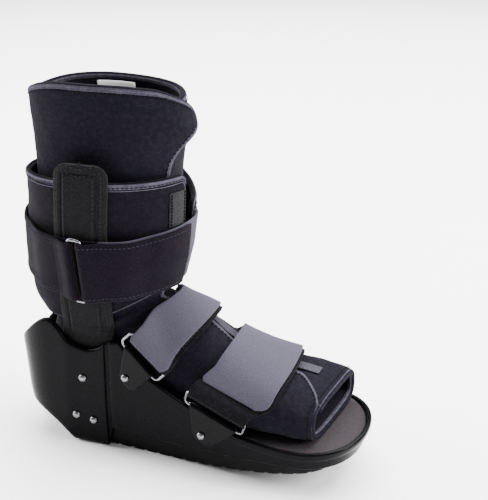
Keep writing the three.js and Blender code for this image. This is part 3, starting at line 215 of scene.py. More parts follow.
def new_piece(name, points, faces, finish, replaces=(), lengths=None):
    """A mesh object at the origin from points in millimetres and groups of equal-sided faces.

    lengths holds each point's distance along and across the cloth, and becomes the UV map.
    """
    groups = [np.asarray(group, np.int32) for group in faces]
    points = on_frame(points)
    if volume(points, groups) < 0:
        groups = [group[:, ::-1] for group in groups]
    corners = np.concatenate([group.ravel() for group in groups])
    sizes = np.concatenate([np.full(len(group), group.shape[1], np.int32) for group in groups])
    mesh = bpy.data.meshes.new(name)
    mesh.vertices.add(len(points))
    mesh.vertices.foreach_set("co", points.astype(np.float32).ravel())
    mesh.loops.add(len(corners))
    mesh.loops.foreach_set("vertex_index", corners)
    mesh.polygons.add(len(sizes))
    starts = np.concatenate([[0], np.cumsum(sizes)[:-1]])
    mesh.polygons.foreach_set("loop_start", starts.astype(np.int32))
    mesh.update(calc_edges=True)
    mesh.polygons.foreach_set("use_smooth", np.ones(len(sizes), bool))
    if lengths is not None:
        layer = mesh.uv_layers.new(name="cloth")
        metres = lengths.reshape(-1, 2)[corners] * 0.001
        layer.data.foreach_set("uv", metres.astype(np.float32).ravel())
    mesh.validate()
    mesh.materials.append(finish)
    piece = bpy.data.objects.new(name, mesh)
    bpy.context.scene.collection.objects.link(piece)
    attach(piece, "root")
    if replaces:
        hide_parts(*replaces)
    return piece


def grid_faces(rows, columns, close_rows=False, close_columns=False):
    """Four-sided faces of a grid of points, joined round where it is closed."""
    i = np.arange(rows if close_rows else rows - 1)
    j = np.arange(columns if close_columns else columns - 1)
    i, j = (part.ravel() for part in np.meshgrid(i, j, indexing="ij"))
    ni, nj = (i + 1) % rows, (j + 1) % columns
    return np.stack([i * columns + j, ni * columns + j, ni * columns + nj, i * columns + nj], -1)


def edge_loop(shape):
    """Indices round the border of a grid, and of the points one step inside it."""
    rows, columns = shape
    index = np.arange(rows * columns).reshape(rows, columns)
    loop = np.concatenate([index[:-1, 0], index[-1, :-1], index[:0:-1, -1], index[0, :0:-1]])
    i, j = np.clip(loop // columns, 1, rows - 2), np.clip(loop % columns, 1, columns - 2)
    return loop, i * columns + j


def border(outer, inner):
    """Middle, upward half thickness and outward direction round the border of a sheet."""
    loop, inside = edge_loop(outer.shape[:2])
    top, low = outer.reshape(-1, 3), inner.reshape(-1, 3)
    middle = (top[loop] + low[loop]) / 2
    up = (top[loop] - low[loop]) / 2
    away = middle - (top[inside] + low[inside]) / 2
    level = unit(up)
    away = unit(away - level * np.sum(away * level, axis=1, keepdims=True))
    return middle, up, away


def cloth_lengths(grid):
    """Distance along the rows and across the columns of a grid, measured at each point."""
    down = np.linalg.norm(np.diff(grid, axis=0), axis=2).cumsum(axis=0)
    across = np.linalg.norm(np.diff(grid, axis=1), axis=2).cumsum(axis=1)
    down = np.concatenate([np.zeros((1, grid.shape[1])), down])
    across = np.concatenate([np.zeros((grid.shape[0], 1)), across], axis=1)
    return np.stack([across, down], -1)


def sheet_piece(name, outer, inner, finish, replaces=(), rim=3, bulge=1.0):
    """A closed sheet between two grids: outer face, inner face and a half-round rim between them."""
    rows, columns = outer.shape[:2]
    count = rows * columns
    loop = edge_loop((rows, columns))[0]
    middle, up, away = border(outer, inner)
    thick = np.linalg.norm(up, axis=1, keepdims=True)
    turns = np.linspace(0, math.pi, rim + 2)[1:-1]
    rings = [middle + up * math.cos(a) + away * thick * bulge * math.sin(a) for a in turns]
    points = np.concatenate([outer.reshape(-1, 3), inner.reshape(-1, 3), *rings])
    faces = grid_faces(rows, columns)
    strips = [loop, *(2 * count + k * len(loop) + np.arange(len(loop)) for k in range(rim)), count + loop]
    walls = [np.stack([a, np.roll(a, -1), np.roll(b, -1), b], -1) for a, b in zip(strips, strips[1:])]
    lengths = cloth_lengths(outer).reshape(-1, 2)
    lengths = np.concatenate([lengths, lengths, *[lengths[loop]] * rim])
    # Beside the outer face the rim has to take the border's steps the other way than the face does.
    if edge_runs_with(faces[0], loop):
        walls = [wall[:, ::-1] for wall in walls]
    whole = np.concatenate([faces, count + faces[:, ::-1], *walls])
    return new_piece(name, points, [whole], finish, replaces, lengths)


def edge_runs_with(face, loop):
    """True where the face's own turn takes the border's first step in the loop's direction."""
    return bool(np.any((face == loop[0]) & (np.roll(face, -1) == loop[1])))


def tube_points(path, side, up, half_side, half_up, steps, square=1.0):
    """A rounded profile carried along a path: side and up are its directions at each point.

    square below 1 flattens the profile's faces: each part is a cosine or sine to that power.
    """
    turns = np.arange(steps) * TAU / steps
    a = signed_power(np.cos(turns), square)[None, :, None] * np.asarray(half_side).reshape(-1, 1, 1)
    b = signed_power(np.sin(turns), square)[None, :, None] * np.asarray(half_up).reshape(-1, 1, 1)
    return path[:, None] + side[:, None] * a + up[:, None] * b


def tube_groups(rows, steps, closed):
    """Faces of a tube, with a flat face at each end where it isn't closed."""
    groups = [grid_faces(rows, steps, close_rows=closed, close_columns=True)]
    if not closed:
        ring = np.arange(steps)
        groups.append(np.stack([ring, (rows - 1) * steps + ring[::-1]]))
    return groups


TUBE_STEP_LENGTH = 0.8


def tube_piece(name, tubes, finish, replaces=()):
    """One object of several tubes, each given as its points and whether it is closed."""
    points, lengths, quads, caps, start = [], [], [], [], 0
    for tube, closed in tubes:
        rows, steps = tube.shape[:2]
        flat = tube.reshape(-1, 3)
        made = tube_groups(rows, steps, closed)
        turn = -1 if volume(flat, made) < 0 else 1
        made = [group[:, ::turn] + start for group in made]
        quads.append(made[0])
        caps += made[1:]
        points.append(flat)
        ahead, round_it = along(tube[:, 0])[:, None], np.arange(steps) * TUBE_STEP_LENGTH
        lengths.append(np.stack(np.broadcast_arrays(ahead, round_it), -1).reshape(-1, 2))
        start += rows * steps
    faces = [np.concatenate(group) for group in (quads, caps) if group]
    return new_piece(name, np.concatenate(points), faces, finish, replaces, np.concatenate(lengths))


def binding_tube(outer, inner, width, swell):
    """Tape folded over a sheet's border: a flattened profile that straddles the edge all round."""
    middle, up, away = border(outer, inner)
    keep = np.concatenate([[True], np.linalg.norm(np.diff(middle, axis=0), axis=1) > 0.05])
    middle, up, away = middle[keep], up[keep], away[keep]
    half = np.linalg.norm(up, axis=1) + swell
    path = middle - away * (width / 2 - 0.6)
    return tube_points(path, away, unit(up), width / 2, half, steps=12, square=0.7), True


def cord_tube(line, normals, radius):
    """A thin round cord along a line that lies on a surface with those normals."""
    ahead = unit(np.gradient(line, axis=0))
    side = unit(np.cross(ahead, normals))
    return tube_points(line, side, unit(np.cross(side, ahead)), radius, radius, steps=8), False


# A stitch has rings across it, from one end to the other: place, size and height off the cloth.
STITCH_LENGTH, STITCH_RADIUS, STITCH_SIDES = 2.3, 0.36, 5
STITCH_PLACES = np.array([-0.5, -0.3, 0.3, 0.5]) * STITCH_LENGTH
STITCH_SIZES = np.array([0.35, 1.0, 1.0, 0.35]) * STITCH_RADIUS
STITCH_RISE = np.array([-0.4, 0.25, 0.25, -0.4]) * STITCH_RADIUS * 1.6


def stitch_points(line, normals, pitch):
    """Threads along a line: each is a slim spindle lying on the surface, sunk at both ends."""
    total = along(line)[-1]
    count = max(int(total / pitch), 1)
    at = (np.arange(count) + 0.5) * total / count
    centre, up, ahead = resample(line, at, normals, np.gradient(line, axis=0))
    ahead = unit(ahead)
    side = unit(np.cross(ahead, up))
    up = np.cross(side, ahead)
    centre, ahead, side, up = (part[:, None, None] for part in (centre, ahead, side, up))
    places, sizes, rise = (part[None, :, None, None]
                           for part in (STITCH_PLACES, STITCH_SIZES, STITCH_RISE))
    turns = (np.arange(STITCH_SIDES) * TAU / STITCH_SIDES)[None, None, :, None]
    rings = side * (np.cos(turns) * sizes) + up * (np.sin(turns) * sizes)
    return centre + ahead * places + up * rise + rings


def stitch_piece(name, lines, finish, pitch=None):
    """One object of all the stitches along several lines, each a line and its normals."""
    pitch = pitch or settings().stitch_pitch * 1000
    made = np.concatenate([stitch_points(line, normals, pitch) for line, normals in lines])
    rings, sides = made.shape[1:3]
    quads, caps = tube_groups(rings, sides, closed=False)
    shift = (np.arange(len(made)) * rings * sides)[:, None, None]
    faces = [(quads + shift).reshape(-1, 4), (caps[:, ::-1] + shift).reshape(-1, sides)]
    return new_piece(name, made.reshape(-1, 3), faces, finish)


# ---------------------------------------------------------------- finishes


class Nodes:
    """A material's node tree, with short ways to add and join nodes."""

    def __init__(self, name):
        self.material = bpy.data.materials.new(name)
        self.material.use_nodes = True
        self.tree = self.material.node_tree
        self.shader = next(n for n in self.tree.nodes if n.type == "BSDF_PRINCIPLED")

    def add(self, kind, inputs=None, **values):
        node = self.tree.nodes.new(kind)
        for key, value in values.items():
            setattr(node, key, value)
        for key, value in (inputs or {}).items():
            self.feed(node.inputs[key], value)
        return node

    def feed(self, socket, value):
        """Join another node's output to a socket, or set the socket's own value."""
        if isinstance(value, bpy.types.NodeSocket):
            self.tree.links.new(value, socket)
        else:
            socket.default_value = value

    def space(self, socket, scale=(1, 1, 1)):
        """Coordinates in millimetres, times a scale for each axis."""
        source = self.add("ShaderNodeTexCoord").outputs[socket]
        scale = [1000 * s for s in scale]
        return self.add("ShaderNodeMapping", {"Vector": source, "Scale": scale}).outputs[0]

    def noise(self, vector, size, detail=3.0, rough=0.55):
        """Uneven value from 0 to 1 with grains of about one size in millimetres."""
        inputs = {"Vector": vector, "Scale": 1 / size, "Detail": detail, "Roughness": rough}
        return self.add("ShaderNodeTexNoise", inputs).outputs[0]

    def wave(self, vector, pitch, axis):
        """Ribs across one axis, pitch millimetres apart."""
        inputs = {"Vector": vector, "Scale": 0.314 / pitch, "Distortion": 0.25, "Detail": 1.0,
                  "Detail Scale": 2.0}
        return self.add("ShaderNodeTexWave", inputs, bands_direction=axis).outputs["Fac"]

    def math(self, operation, a, b):
        return self.add("ShaderNodeMath", {0: a, 1: b}, operation=operation).outputs[0]

    def spread(self, value, low, high, out_low, out_high):
        """A value's range from low to high, carried to another range and held there."""
        inputs = {0: value, 1: low, 2: high, 3: out_low, 4: out_high}
        return self.add("ShaderNodeMapRange", inputs).outputs[0]

    def mix(self, factor, a, b):
        """Two colours mixed: sockets 6 and 7 and output 2 are the node's colour ones."""
        return self.add("ShaderNodeMix", {0: factor, 6: a, 7: b}, data_type="RGBA").outputs[2]

    def tone(self, value, low, high, a, b):
        """Colour a where the value is low, colour b where it is high."""
        return self.mix(self.spread(value, low, high, 0, 1), a, b)

    def bump(self, height, distance, strength, before=None):
        """A normal from a height; distance is its depth in millimetres."""
        inputs = {"Height": height, "Distance": distance * 0.001, "Strength": strength}
        if before is not None:
            inputs["Normal"] = before
        return self.add("ShaderNodeBump", inputs).outputs[0]

    def finish(self, colour, roughness, normal, **fixed):
        """Feed the shader; fixed values are constants on its own sockets."""
        for key, value in {"Base_Color": colour, "Roughness": roughness, "Normal": normal, **fixed}.items():
            self.feed(self.shader.inputs[key.replace("_", " ")], value)
        return self.material


FINISHES = {}


def finish_for(name, make, *words, **values):
    """The finish of that name, made once."""
    if name not in FINISHES:
        FINISHES[name] = make(name, *words, **values)
    return FINISHES[name]


def shade(colour, amount):
    return tuple(min(c * amount, 1.0) for c in colour[:3]) + (1.0,)


# Cloth seen on dark pieces: a little of the given sheen, and hardly any gloss.
SHEEN_SHARE, CLOTH_GLOSS = 0.13, 0.02


def woven(name, colour, pitch, ribs, fuzz, sheen=0.25, mottle=0.22, rough=0.9):
    """Cloth: crossed ribs on the cloth's own lengths with painted shade between them, fine fuzz, and slow
    uneven worn patches in its colour.
    """
    n = Nodes(name)
    base = linear(colour)
    cloth, body = n.space("UV"), n.space("Object")
    warp, weft = n.wave(cloth, pitch, "X"), n.wave(cloth, pitch, "Y")
    weave = n.math("MAXIMUM", warp, weft)
    hair = n.noise(body, 0.9, 4.0, 0.7)
    slow = n.noise(body, 26, 3.0, 0.6)
    worn = n.tone(slow, 0.32, 0.68, shade(base, 1 - mottle), shade(base, 1 + mottle))
    felt = n.noise(body, 3.6, 3.0, 0.65)
    worn = n.tone(felt, 0.42, 0.68, worn, shade(base, 1 + 6 * mottle))
    lit = n.tone(hair, 0.40, 0.75, worn, shade(base, 1 + 5 * mottle))
    # Painted shade: the colour falls to 62 percent in the grooves between the ribs.
    shaded_between_ribs = n.tone(weave, 0.2, 0.9, shade(base, 0.62), lit)
    height = n.bump(weave, ribs, 0.8)
    soft = n.bump(felt, fuzz * 1.6, 0.7, height)
    normal = n.bump(hair, fuzz, 0.9, soft)
    roughness = n.spread(slow, 0.3, 0.7, rough - 0.08, min(rough + 0.06, 1))
    return n.finish(shaded_between_ribs, roughness, normal, Sheen_Weight=sheen * SHEEN_SHARE,
                    Sheen_Roughness=0.4, Specular_IOR_Level=CLOTH_GLOSS)


def thread_finish(name, colour, sheen=0.25):
    """The finish of a sewing thread, made once."""
    return finish_for(name, woven, colour, pitch=0.7, ribs=0.05, fuzz=0.08, sheen=sheen)


def looped(name, colour, size, depth, sheen=0.35, mottle=0.3):
    """Brushed loop pile: small round tufts over a slow nap."""
    n = Nodes(name)
    base = linear(colour)
    body = n.space("Object")
    tufts = n.add("ShaderNodeTexVoronoi", {"Vector": body, "Scale": 1 / size}).outputs["Distance"]
    hair = n.noise(body, 0.7, 4.0, 0.75)
    nap = n.noise(body, 17, 3.0, 0.6)
    pile = n.math("ADD", n.math("MULTIPLY", tufts, 0.6), hair)
    worn = n.tone(nap, 0.3, 0.7, shade(base, 1 - mottle), shade(base, 1 + mottle))
    lit = n.tone(pile, 0.55, 1.05, worn, shade(base, 1 + 3.5 * mottle))
    return n.finish(lit, n.spread(hair, 0.2, 0.8, 0.86, 1.0), n.bump(pile, depth, 0.9),
                    Sheen_Weight=sheen * SHEEN_SHARE, Sheen_Roughness=0.45, Specular_IOR_Level=CLOTH_GLOSS)


def moulded(name, colour, rough, depth, wear, specular, grain=0.9):
    """Moulded plastic or rubber: fine spark grain, slow smudges in the gloss and a painted highlight along
    sharp edges.
    """
    n = Nodes(name)
    base = linear(colour)
    body = n.space("Object")
    spark = n.noise(body, grain, 2.0, 0.5)
    smudge = n.noise(body, 22, 4.0, 0.6)
    edge = n.add("ShaderNodeNewGeometry").outputs["Pointiness"]
    # Painted highlight: where the surface is sharp, as along the rim, the colour turns up to fourteen times
    # lighter, as if it caught the light.
    painted_edge_highlight = n.math("MULTIPLY", n.spread(edge, 0.54, 0.62, 0, wear), n.spread(smudge, 0.3, 0.6, 0.4, 1))
    tone = n.tone(smudge, 0.3, 0.7, shade(base, 0.86), shade(base, 1.18))
    roughness = n.spread(smudge, 0.3, 0.7, rough - 0.07, rough + 0.10)
    return n.finish(n.mix(painted_edge_highlight, tone, shade(base, 14)), roughness, n.bump(spark, depth, 0.6),
                    Specular_IOR_Level=specular)


def steel(name, colour, rough):
    """Plated steel: bright, with fine drawn lines and faint smudges."""
    n = Nodes(name)
    base = linear(colour)
    drawn = n.noise(n.space("Object", (3.5, 0.5, 0.5)), 1.2, 2.0, 0.5)
    smudge = n.noise(n.space("Object"), 6, 3.0, 0.6)
    tone = n.tone(smudge, 0.3, 0.7, shade(base, 0.82), base)
    return n.finish(tone, n.spread(smudge, 0.25, 0.75, rough, rough + 0.14), n.bump(drawn, 0.03, 0.4),
                    Metallic=1.0)


def foam(name, colour):
    """Insole foam under a knitted face: fine pimples and a soft tone."""
    return looped(name, colour, size=1.1, depth=0.35, sheen=0.12, mottle=0.13)


def studio_paper(name, colour):
    """Matt backdrop paper with a barely uneven tone."""
    n = Nodes(name)
    base = linear(colour)
    body = n.space("Object")
    tone = n.tone(n.noise(body, 180, 2.0, 0.5), 0.3, 0.7, shade(base, 0.985), base)
    return n.finish(tone, 0.95, n.bump(n.noise(body, 1.5), 0.02, 0.2), Specular_IOR_Level=0.1)


# ---------------------------------------------------------------- shell outline, as in the part's source

SHELL_LENGTH, HEEL_ROUND, TOE_ROUND = 300.0, 47.0, 50.0
HEEL_HALF, TOE_HALF = 44.5, 56.0
HEEL_SQUARE, TOE_SQUARE = 2.7, 2.15
SHELL_WALL, SHELL_FLOOR, FLOOR_HEIGHT, TOE_FLOOR_RISE = 3.5, 4.0, 33.5, 1.5
COLUMN_FRONT, COLUMN_STEP = 88.0, 1.6
BACK_HEIGHT, WING_HEIGHT, VALLEY_HEIGHT, FRONT_HEIGHT, TOE_RIM = 87.0, 114.0, 92.0, 104.0, 39.0
TOE_CENTRE = SHELL_LENGTH - TOE_ROUND
FLOOR_BEND = 0.49 * SHELL_LENGTH
STAND_FROM, STAND_TO, HEEL_LIFT, TOE_ROCKER = 56.0, 124.0, 29.0, 560.0
WALL_FLARE, HEEL_LEAN, TOE_LEAN, SKIRT_HEIGHT, SKIRT_RISE = 3.0, 8.0, 9.0, 18.0, 8.0

# Top edge in side view: x as a share of the shell length, then the height in millimetres.
WING_EDGE = [(0.0, 0.885 * BACK_HEIGHT), (0.012, 0.965 * BACK_HEIGHT), (0.044, 0.845 * WING_HEIGHT),
             (0.093, 0.965 * WING_HEIGHT), (0.1265, WING_HEIGHT), (0.153, 0.955 * WING_HEIGHT),
             (0.176, 0.875 * WING_HEIGHT), (0.2025, 1.025 * VALLEY_HEIGHT), (0.24, 0.995 * VALLEY_HEIGHT),
             (0.2705, 1.02 * VALLEY_HEIGHT), (COLUMN_FRONT / SHELL_LENGTH, 1.07 * VALLEY_HEIGHT)]
SLANT_EDGE = [(0.336, 0.985 * FRONT_HEIGHT), (0.3575, 0.9 * FRONT_HEIGHT), (0.392, 0.785 * FRONT_HEIGHT),
              (0.4355, 0.7 * FRONT_HEIGHT), (0.534, 0.565 * FRONT_HEIGHT), (0.6555, 0.43 * FRONT_HEIGHT),
              (0.7365, 1.03 * TOE_RIM), (0.828, 0.98 * TOE_RIM), (0.939, 1.04 * TOE_RIM),
              (1.0, 1.1 * TOE_RIM)]


def edge_curve(table):
    curve = through_rows(table, np.linspace(0, len(table) - 1, 400))
    return curve[:, 0] * SHELL_LENGTH, curve[:, 1]


WING_LINE, SLANT_LINE = edge_curve(WING_EDGE), edge_curve(SLANT_EDGE)


def wall_top(x):
    """Height of the shell's top edge: the wing's curve, then the slanted front edge."""
    x = np.asarray(x, float)
    return np.where(x < COLUMN_FRONT, np.interp(x, *WING_LINE),
                    np.interp(x, [COLUMN_FRONT, *SLANT_LINE[0]], [WING_LINE[1][-1], *SLANT_LINE[1]]))


def half_width(x):
    """Half width of the plan outline: rounded heel, straight widening sides, rounded toe."""
    x = np.asarray(x, float)
    heel = np.clip((HEEL_ROUND - x) / HEEL_ROUND, 0, 1)
    toe = np.clip((x - TOE_CENTRE) / TOE_ROUND, 0, 1)
    side = mix(HEEL_HALF, TOE_HALF, smooth(COLUMN_FRONT, TOE_CENTRE, x))
    return np.where(x < HEEL_ROUND, HEEL_HALF * (1 - heel ** HEEL_SQUARE) ** (1 / HEEL_SQUARE),
                    np.where(x > TOE_CENTRE, TOE_HALF * (1 - toe ** TOE_SQUARE) ** (1 / TOE_SQUARE), side))


def flare(z):
    """How far the wall leans in below the toe rim's height."""
    return WALL_FLARE * (1 - np.clip(np.asarray(z, float) / TOE_RIM, 0, 1))


def lean(x, z):
    """How far a point moves along x with its height: the heel leans back, the toe forward."""
    x, z = np.asarray(x, float), np.asarray(z, float)
    heel = HEEL_LEAN * (1 - np.clip(z / BACK_HEIGHT, 0, 1)) * (1 - np.clip(x / HEEL_ROUND, 0, 1))
    toe = TOE_LEAN * (1 - np.clip(z / TOE_RIM, 0, 1)) * np.clip((x - TOE_CENTRE) / TOE_ROUND, 0, 1)
    return heel - toe


def rocker(x):
    """Height of the sole's lower face: a parabola at the heel, flat, then a circle at the toe."""
    x = np.asarray(x, float)
    toe = TOE_ROCKER - np.sqrt(TOE_ROCKER ** 2 - np.clip(x - STAND_TO, 0, None) ** 2)
    return np.where(x < STAND_FROM, HEEL_LIFT * (1 - (x / STAND_FROM) ** 2), toe)


def past_bend(x):
    """Share of the way from the floor's bend to the toe."""
    return np.clip((np.asarray(x, float) - FLOOR_BEND) / (SHELL_LENGTH - FLOOR_BEND), 0, 1)


def floor_top(x):
    return FLOOR_HEIGHT + TOE_FLOOR_RISE * past_bend(x)


def skirt(x):
    """Height of the shell's lower edge: along the rocker at the heel, above the sole in front."""
    x = np.asarray(x, float)
    front = SKIRT_HEIGHT + SKIRT_RISE * past_bend(x)
    rise = mix(1.0, front, np.clip((x - COLUMN_FRONT) / 4, 0, 1))
    return np.where(x < COLUMN_FRONT, rocker(x) + 1, rise)


def plan_outline():
    """The outline seen from above: points from the heel's back round the toe, and inward normals.

    The points stand closest at the step in front of the rear panel.
    """
    turn = np.linspace(0, math.pi / 2, 25)
    heel = np.stack([HEEL_ROUND * (1 - np.cos(turn) ** (2 / HEEL_SQUARE)),
                     HEEL_HALF * np.sin(turn) ** (2 / HEEL_SQUARE)], -1)
    close = [87.2, 87.6, 87.9, 88.2, 88.5, 88.9, 90, 91, 92, 93.5, 96]
    x = np.concatenate([np.linspace(HEEL_ROUND, 86, 14)[1:], close, np.linspace(100, TOE_CENTRE, 44)[:-1]])
    side = np.stack([x, half_width(x)], -1)
    toe = np.stack([TOE_CENTRE + TOE_ROUND * np.sin(turn) ** (2 / TOE_SQUARE),
                    TOE_HALF * np.clip(np.cos(turn), 0, 1) ** (2 / TOE_SQUARE)], -1)
    one_half = np.concatenate([heel, side, toe])
    points = np.concatenate([one_half, one_half[1:-1][::-1] * (1, -1)])
    ahead = unit(np.roll(points, -1, axis=0) - np.roll(points, 1, axis=0))
    return points, np.stack([ahead[:, 1], -ahead[:, 0]], -1)


def outline_at(distance, z, points, inward):
    """Outline moved in by a distance and by the flare at height z, then leant along x."""
    moved = points + inward * (distance + flare(z))[..., None]
    x = moved[..., 0] + lean(moved[..., 0], z)
    return np.stack([x, moved[..., 1], z], -1)


RIDGE_X, RIDGE_HALF_WIDTH, RIDGE_RISE, SEAM_DEPTH, LIP_OUT = 53.5, 12, 0.9, 0.9, 0.55


def column_step(x):
    """The thicker rear panel: a faint ridge, a step at its front, and a groove in the wall before it."""
    ridge = RIDGE_RISE * np.clip(1 - np.abs(x - RIDGE_X) / RIDGE_HALF_WIDTH, 0, 1)
    groove = SEAM_DEPTH * smooth(88.3, 88.7, x) * (1 - smooth(90.5, 93, x))
    return COLUMN_STEP * (1 - smooth(87.5, 88.3, x)) + ridge - groove


def shell_wall_grid():
    """The wall as a profile carried round the outline: outer face, round rim, inner face, lower rim."""
    points, inward = plan_outline()
    x = points[:, 0]
    top, low, step = wall_top(x), skirt(x), column_step(x)
    rim = (SHELL_WALL + step) / 2
    lowest, highest = low + rim * 0.5, top - rim
    lip = LIP_OUT * smooth(170, 215, x)
    rows = []
    for t in np.linspace(0, 1, 22):
        z = mix(lowest, highest, t)
        rows.append((-lip * smooth(top - 7.5, top - 5.5, z) - step, z))
    for a in np.linspace(0, math.pi, 9)[1:-1]:
        rows.append((-step + rim - rim * math.cos(a) - lip * (1 - a / math.pi), highest + rim * math.sin(a)))
    for t in np.linspace(0, 1, 10):
        rows.append((np.full(len(x), SHELL_WALL), mix(highest, lowest, t)))
    for a in np.linspace(0, math.pi, 5)[1:-1]:
        rows.append((SHELL_WALL - rim + rim * math.cos(a), low + rim * 0.5 * (1 - math.sin(a))))
    return np.stack([outline_at(distance, z, points, inward) for distance, z in rows])


def level_plate(inset, low, high, rim=0.36):
    """A plate inside the shell: strips straight across at each x, between two height functions.

    rim is how far both faces draw in to each other along the plate's edge.
    """
    points, inward = plan_outline()
    near = (points + inward * inset)[: len(points) // 2 + 1]
    x = np.linspace(near[0, 0] + 0.3, near[-1, 0] - 0.3, 150)
    half = np.interp(x, near[:, 0], near[:, 1])
    across = np.linspace(-1, 1, 33)[None]
    past = np.clip((np.abs(across) - 0.97) / 0.03, 0, 1)
    drawn = rim * (1 - np.sqrt(1 - past ** 2))
    def face(height, way):
        z = height(x)[:, None] * np.ones_like(across)
        y = across * (half - flare(z[:, 0]))[:, None]
        return np.stack([x[:, None] + lean(x[:, None], z), y, z - drawn * way], -1)
    return face(high, 1), face(low, -1)


class BOOT_OT_shell(bpy.types.Operator):
    """Build the moulded shell: its wall, rim, rear panel and floor."""

    bl_idname = "boot.shell"
    bl_label = "Shell"

    def execute(self, context):
        wall = shell_wall_grid()
        # The shell's rim and sharp edges get a strong painted highlight.
        finish = finish_for("shell_plastic", moulded, settings().shell, rough=0.26, depth=0.05, wear=0.85,
                            specular=0.04)
        rows, columns = wall.shape[:2]
        faces = grid_faces(rows, columns, close_rows=True, close_columns=True)
        new_piece("shell_wall", wall.reshape(-1, 3), [faces], finish, ["shell"])
        top, low = level_plate(SHELL_WALL - 0.6, lambda x: floor_top(x) - SHELL_FLOOR, floor_top, rim=0)
        sheet_piece("shell_floor", top, low, finish, rim=1, bulge=0.1)
        return {"FINISHED"}


TREAD_PITCH, TREAD_DEPTH, TOOTH_PITCH, TOOTH_DEPTH = 12, 1.0, 1.8, 0.6
SOLE_FROM, SOLE_TO, SOLE_STEPS, SOLE_GAP, INSOLE_THICK = 22.0, 292.0, 1081, 0.3, 3.5


def sole_bottom(x):
    """Height of the tread: the rocker, broad cross grooves and, in front, fine teeth."""
    middle = (STAND_FROM + STAND_TO) / 2
    place = (x - middle) / TREAD_PITCH
    from_groove = np.abs(place - np.floor(place) - 0.5) * TREAD_PITCH
    groove = TREAD_DEPTH * (1 - smooth(1.35, 1.6, from_groove))
    teeth = TOOTH_DEPTH * (0.5 + 0.5 * np.cos(x * TAU / TOOTH_PITCH))
    return rocker(x) + np.maximum(groove, teeth * smooth(STAND_TO + 2, STAND_TO + 10, x))


class BOOT_OT_outsole(bpy.types.Operator):
    """Build the rubber outsole with its rocker and tread, and the foam insole."""

    bl_idname = "boot.soles"
    bl_label = "Outsole and insole"

    def execute(self, context):
        inset = SHELL_WALL + 0.4
        points, inward = plan_outline()
        near = (points + inward * inset)[: len(points) // 2 + 1]
        x = np.linspace(SOLE_FROM, SOLE_TO, SOLE_STEPS)
        half = np.interp(x, near[:, 0], near[:, 1])
        bottom, top = sole_bottom(x), floor_top(x) - SHELL_FLOOR - SOLE_GAP
        levels = [0.0, 0.03, 0.10, 0.3, 0.6, 0.85, 1.0]
        rows = []
        for side in (-1, 1):
            for t in levels if side < 0 else levels[::-1]:
                z = mix(bottom, top, t)
                tuck = 0.9 * (1 - min(t / 0.1, 1)) ** 2
                y = np.clip(half - flare(z) - tuck, 0.2, None)
                rows.append(np.stack([x + lean(x, z), side * y, z], -1))
        loop = np.stack(rows, axis=1)
        quads, ends = tube_groups(len(x), len(rows), closed=False)
        # The sole's sharp edges get a faint painted highlight.
        rubber = finish_for("sole_rubber", moulded, settings().outsole, rough=0.62, grain=1.3, depth=0.16,
                            wear=0.25, specular=0.08)
        piece = new_piece("outsole_tread", loop.reshape(-1, 3), [quads, ends[:, ::-1]], rubber,
                          ["outsole"])
        piece.data.set_sharp_from_angle(angle=math.radians(35))
        outer, inner = level_plate(inset, lambda x: floor_top(x) + SOLE_GAP,
                                   lambda x: floor_top(x) + SOLE_GAP + INSOLE_THICK)
        soft = finish_for("insole_foam", foam, settings().insole)
        pad = sheet_piece("insole_pad", outer, inner, soft, ["insole"], bulge=0.6)
        return {"FINISHED"}


# ---------------------------------------------------------------- liner

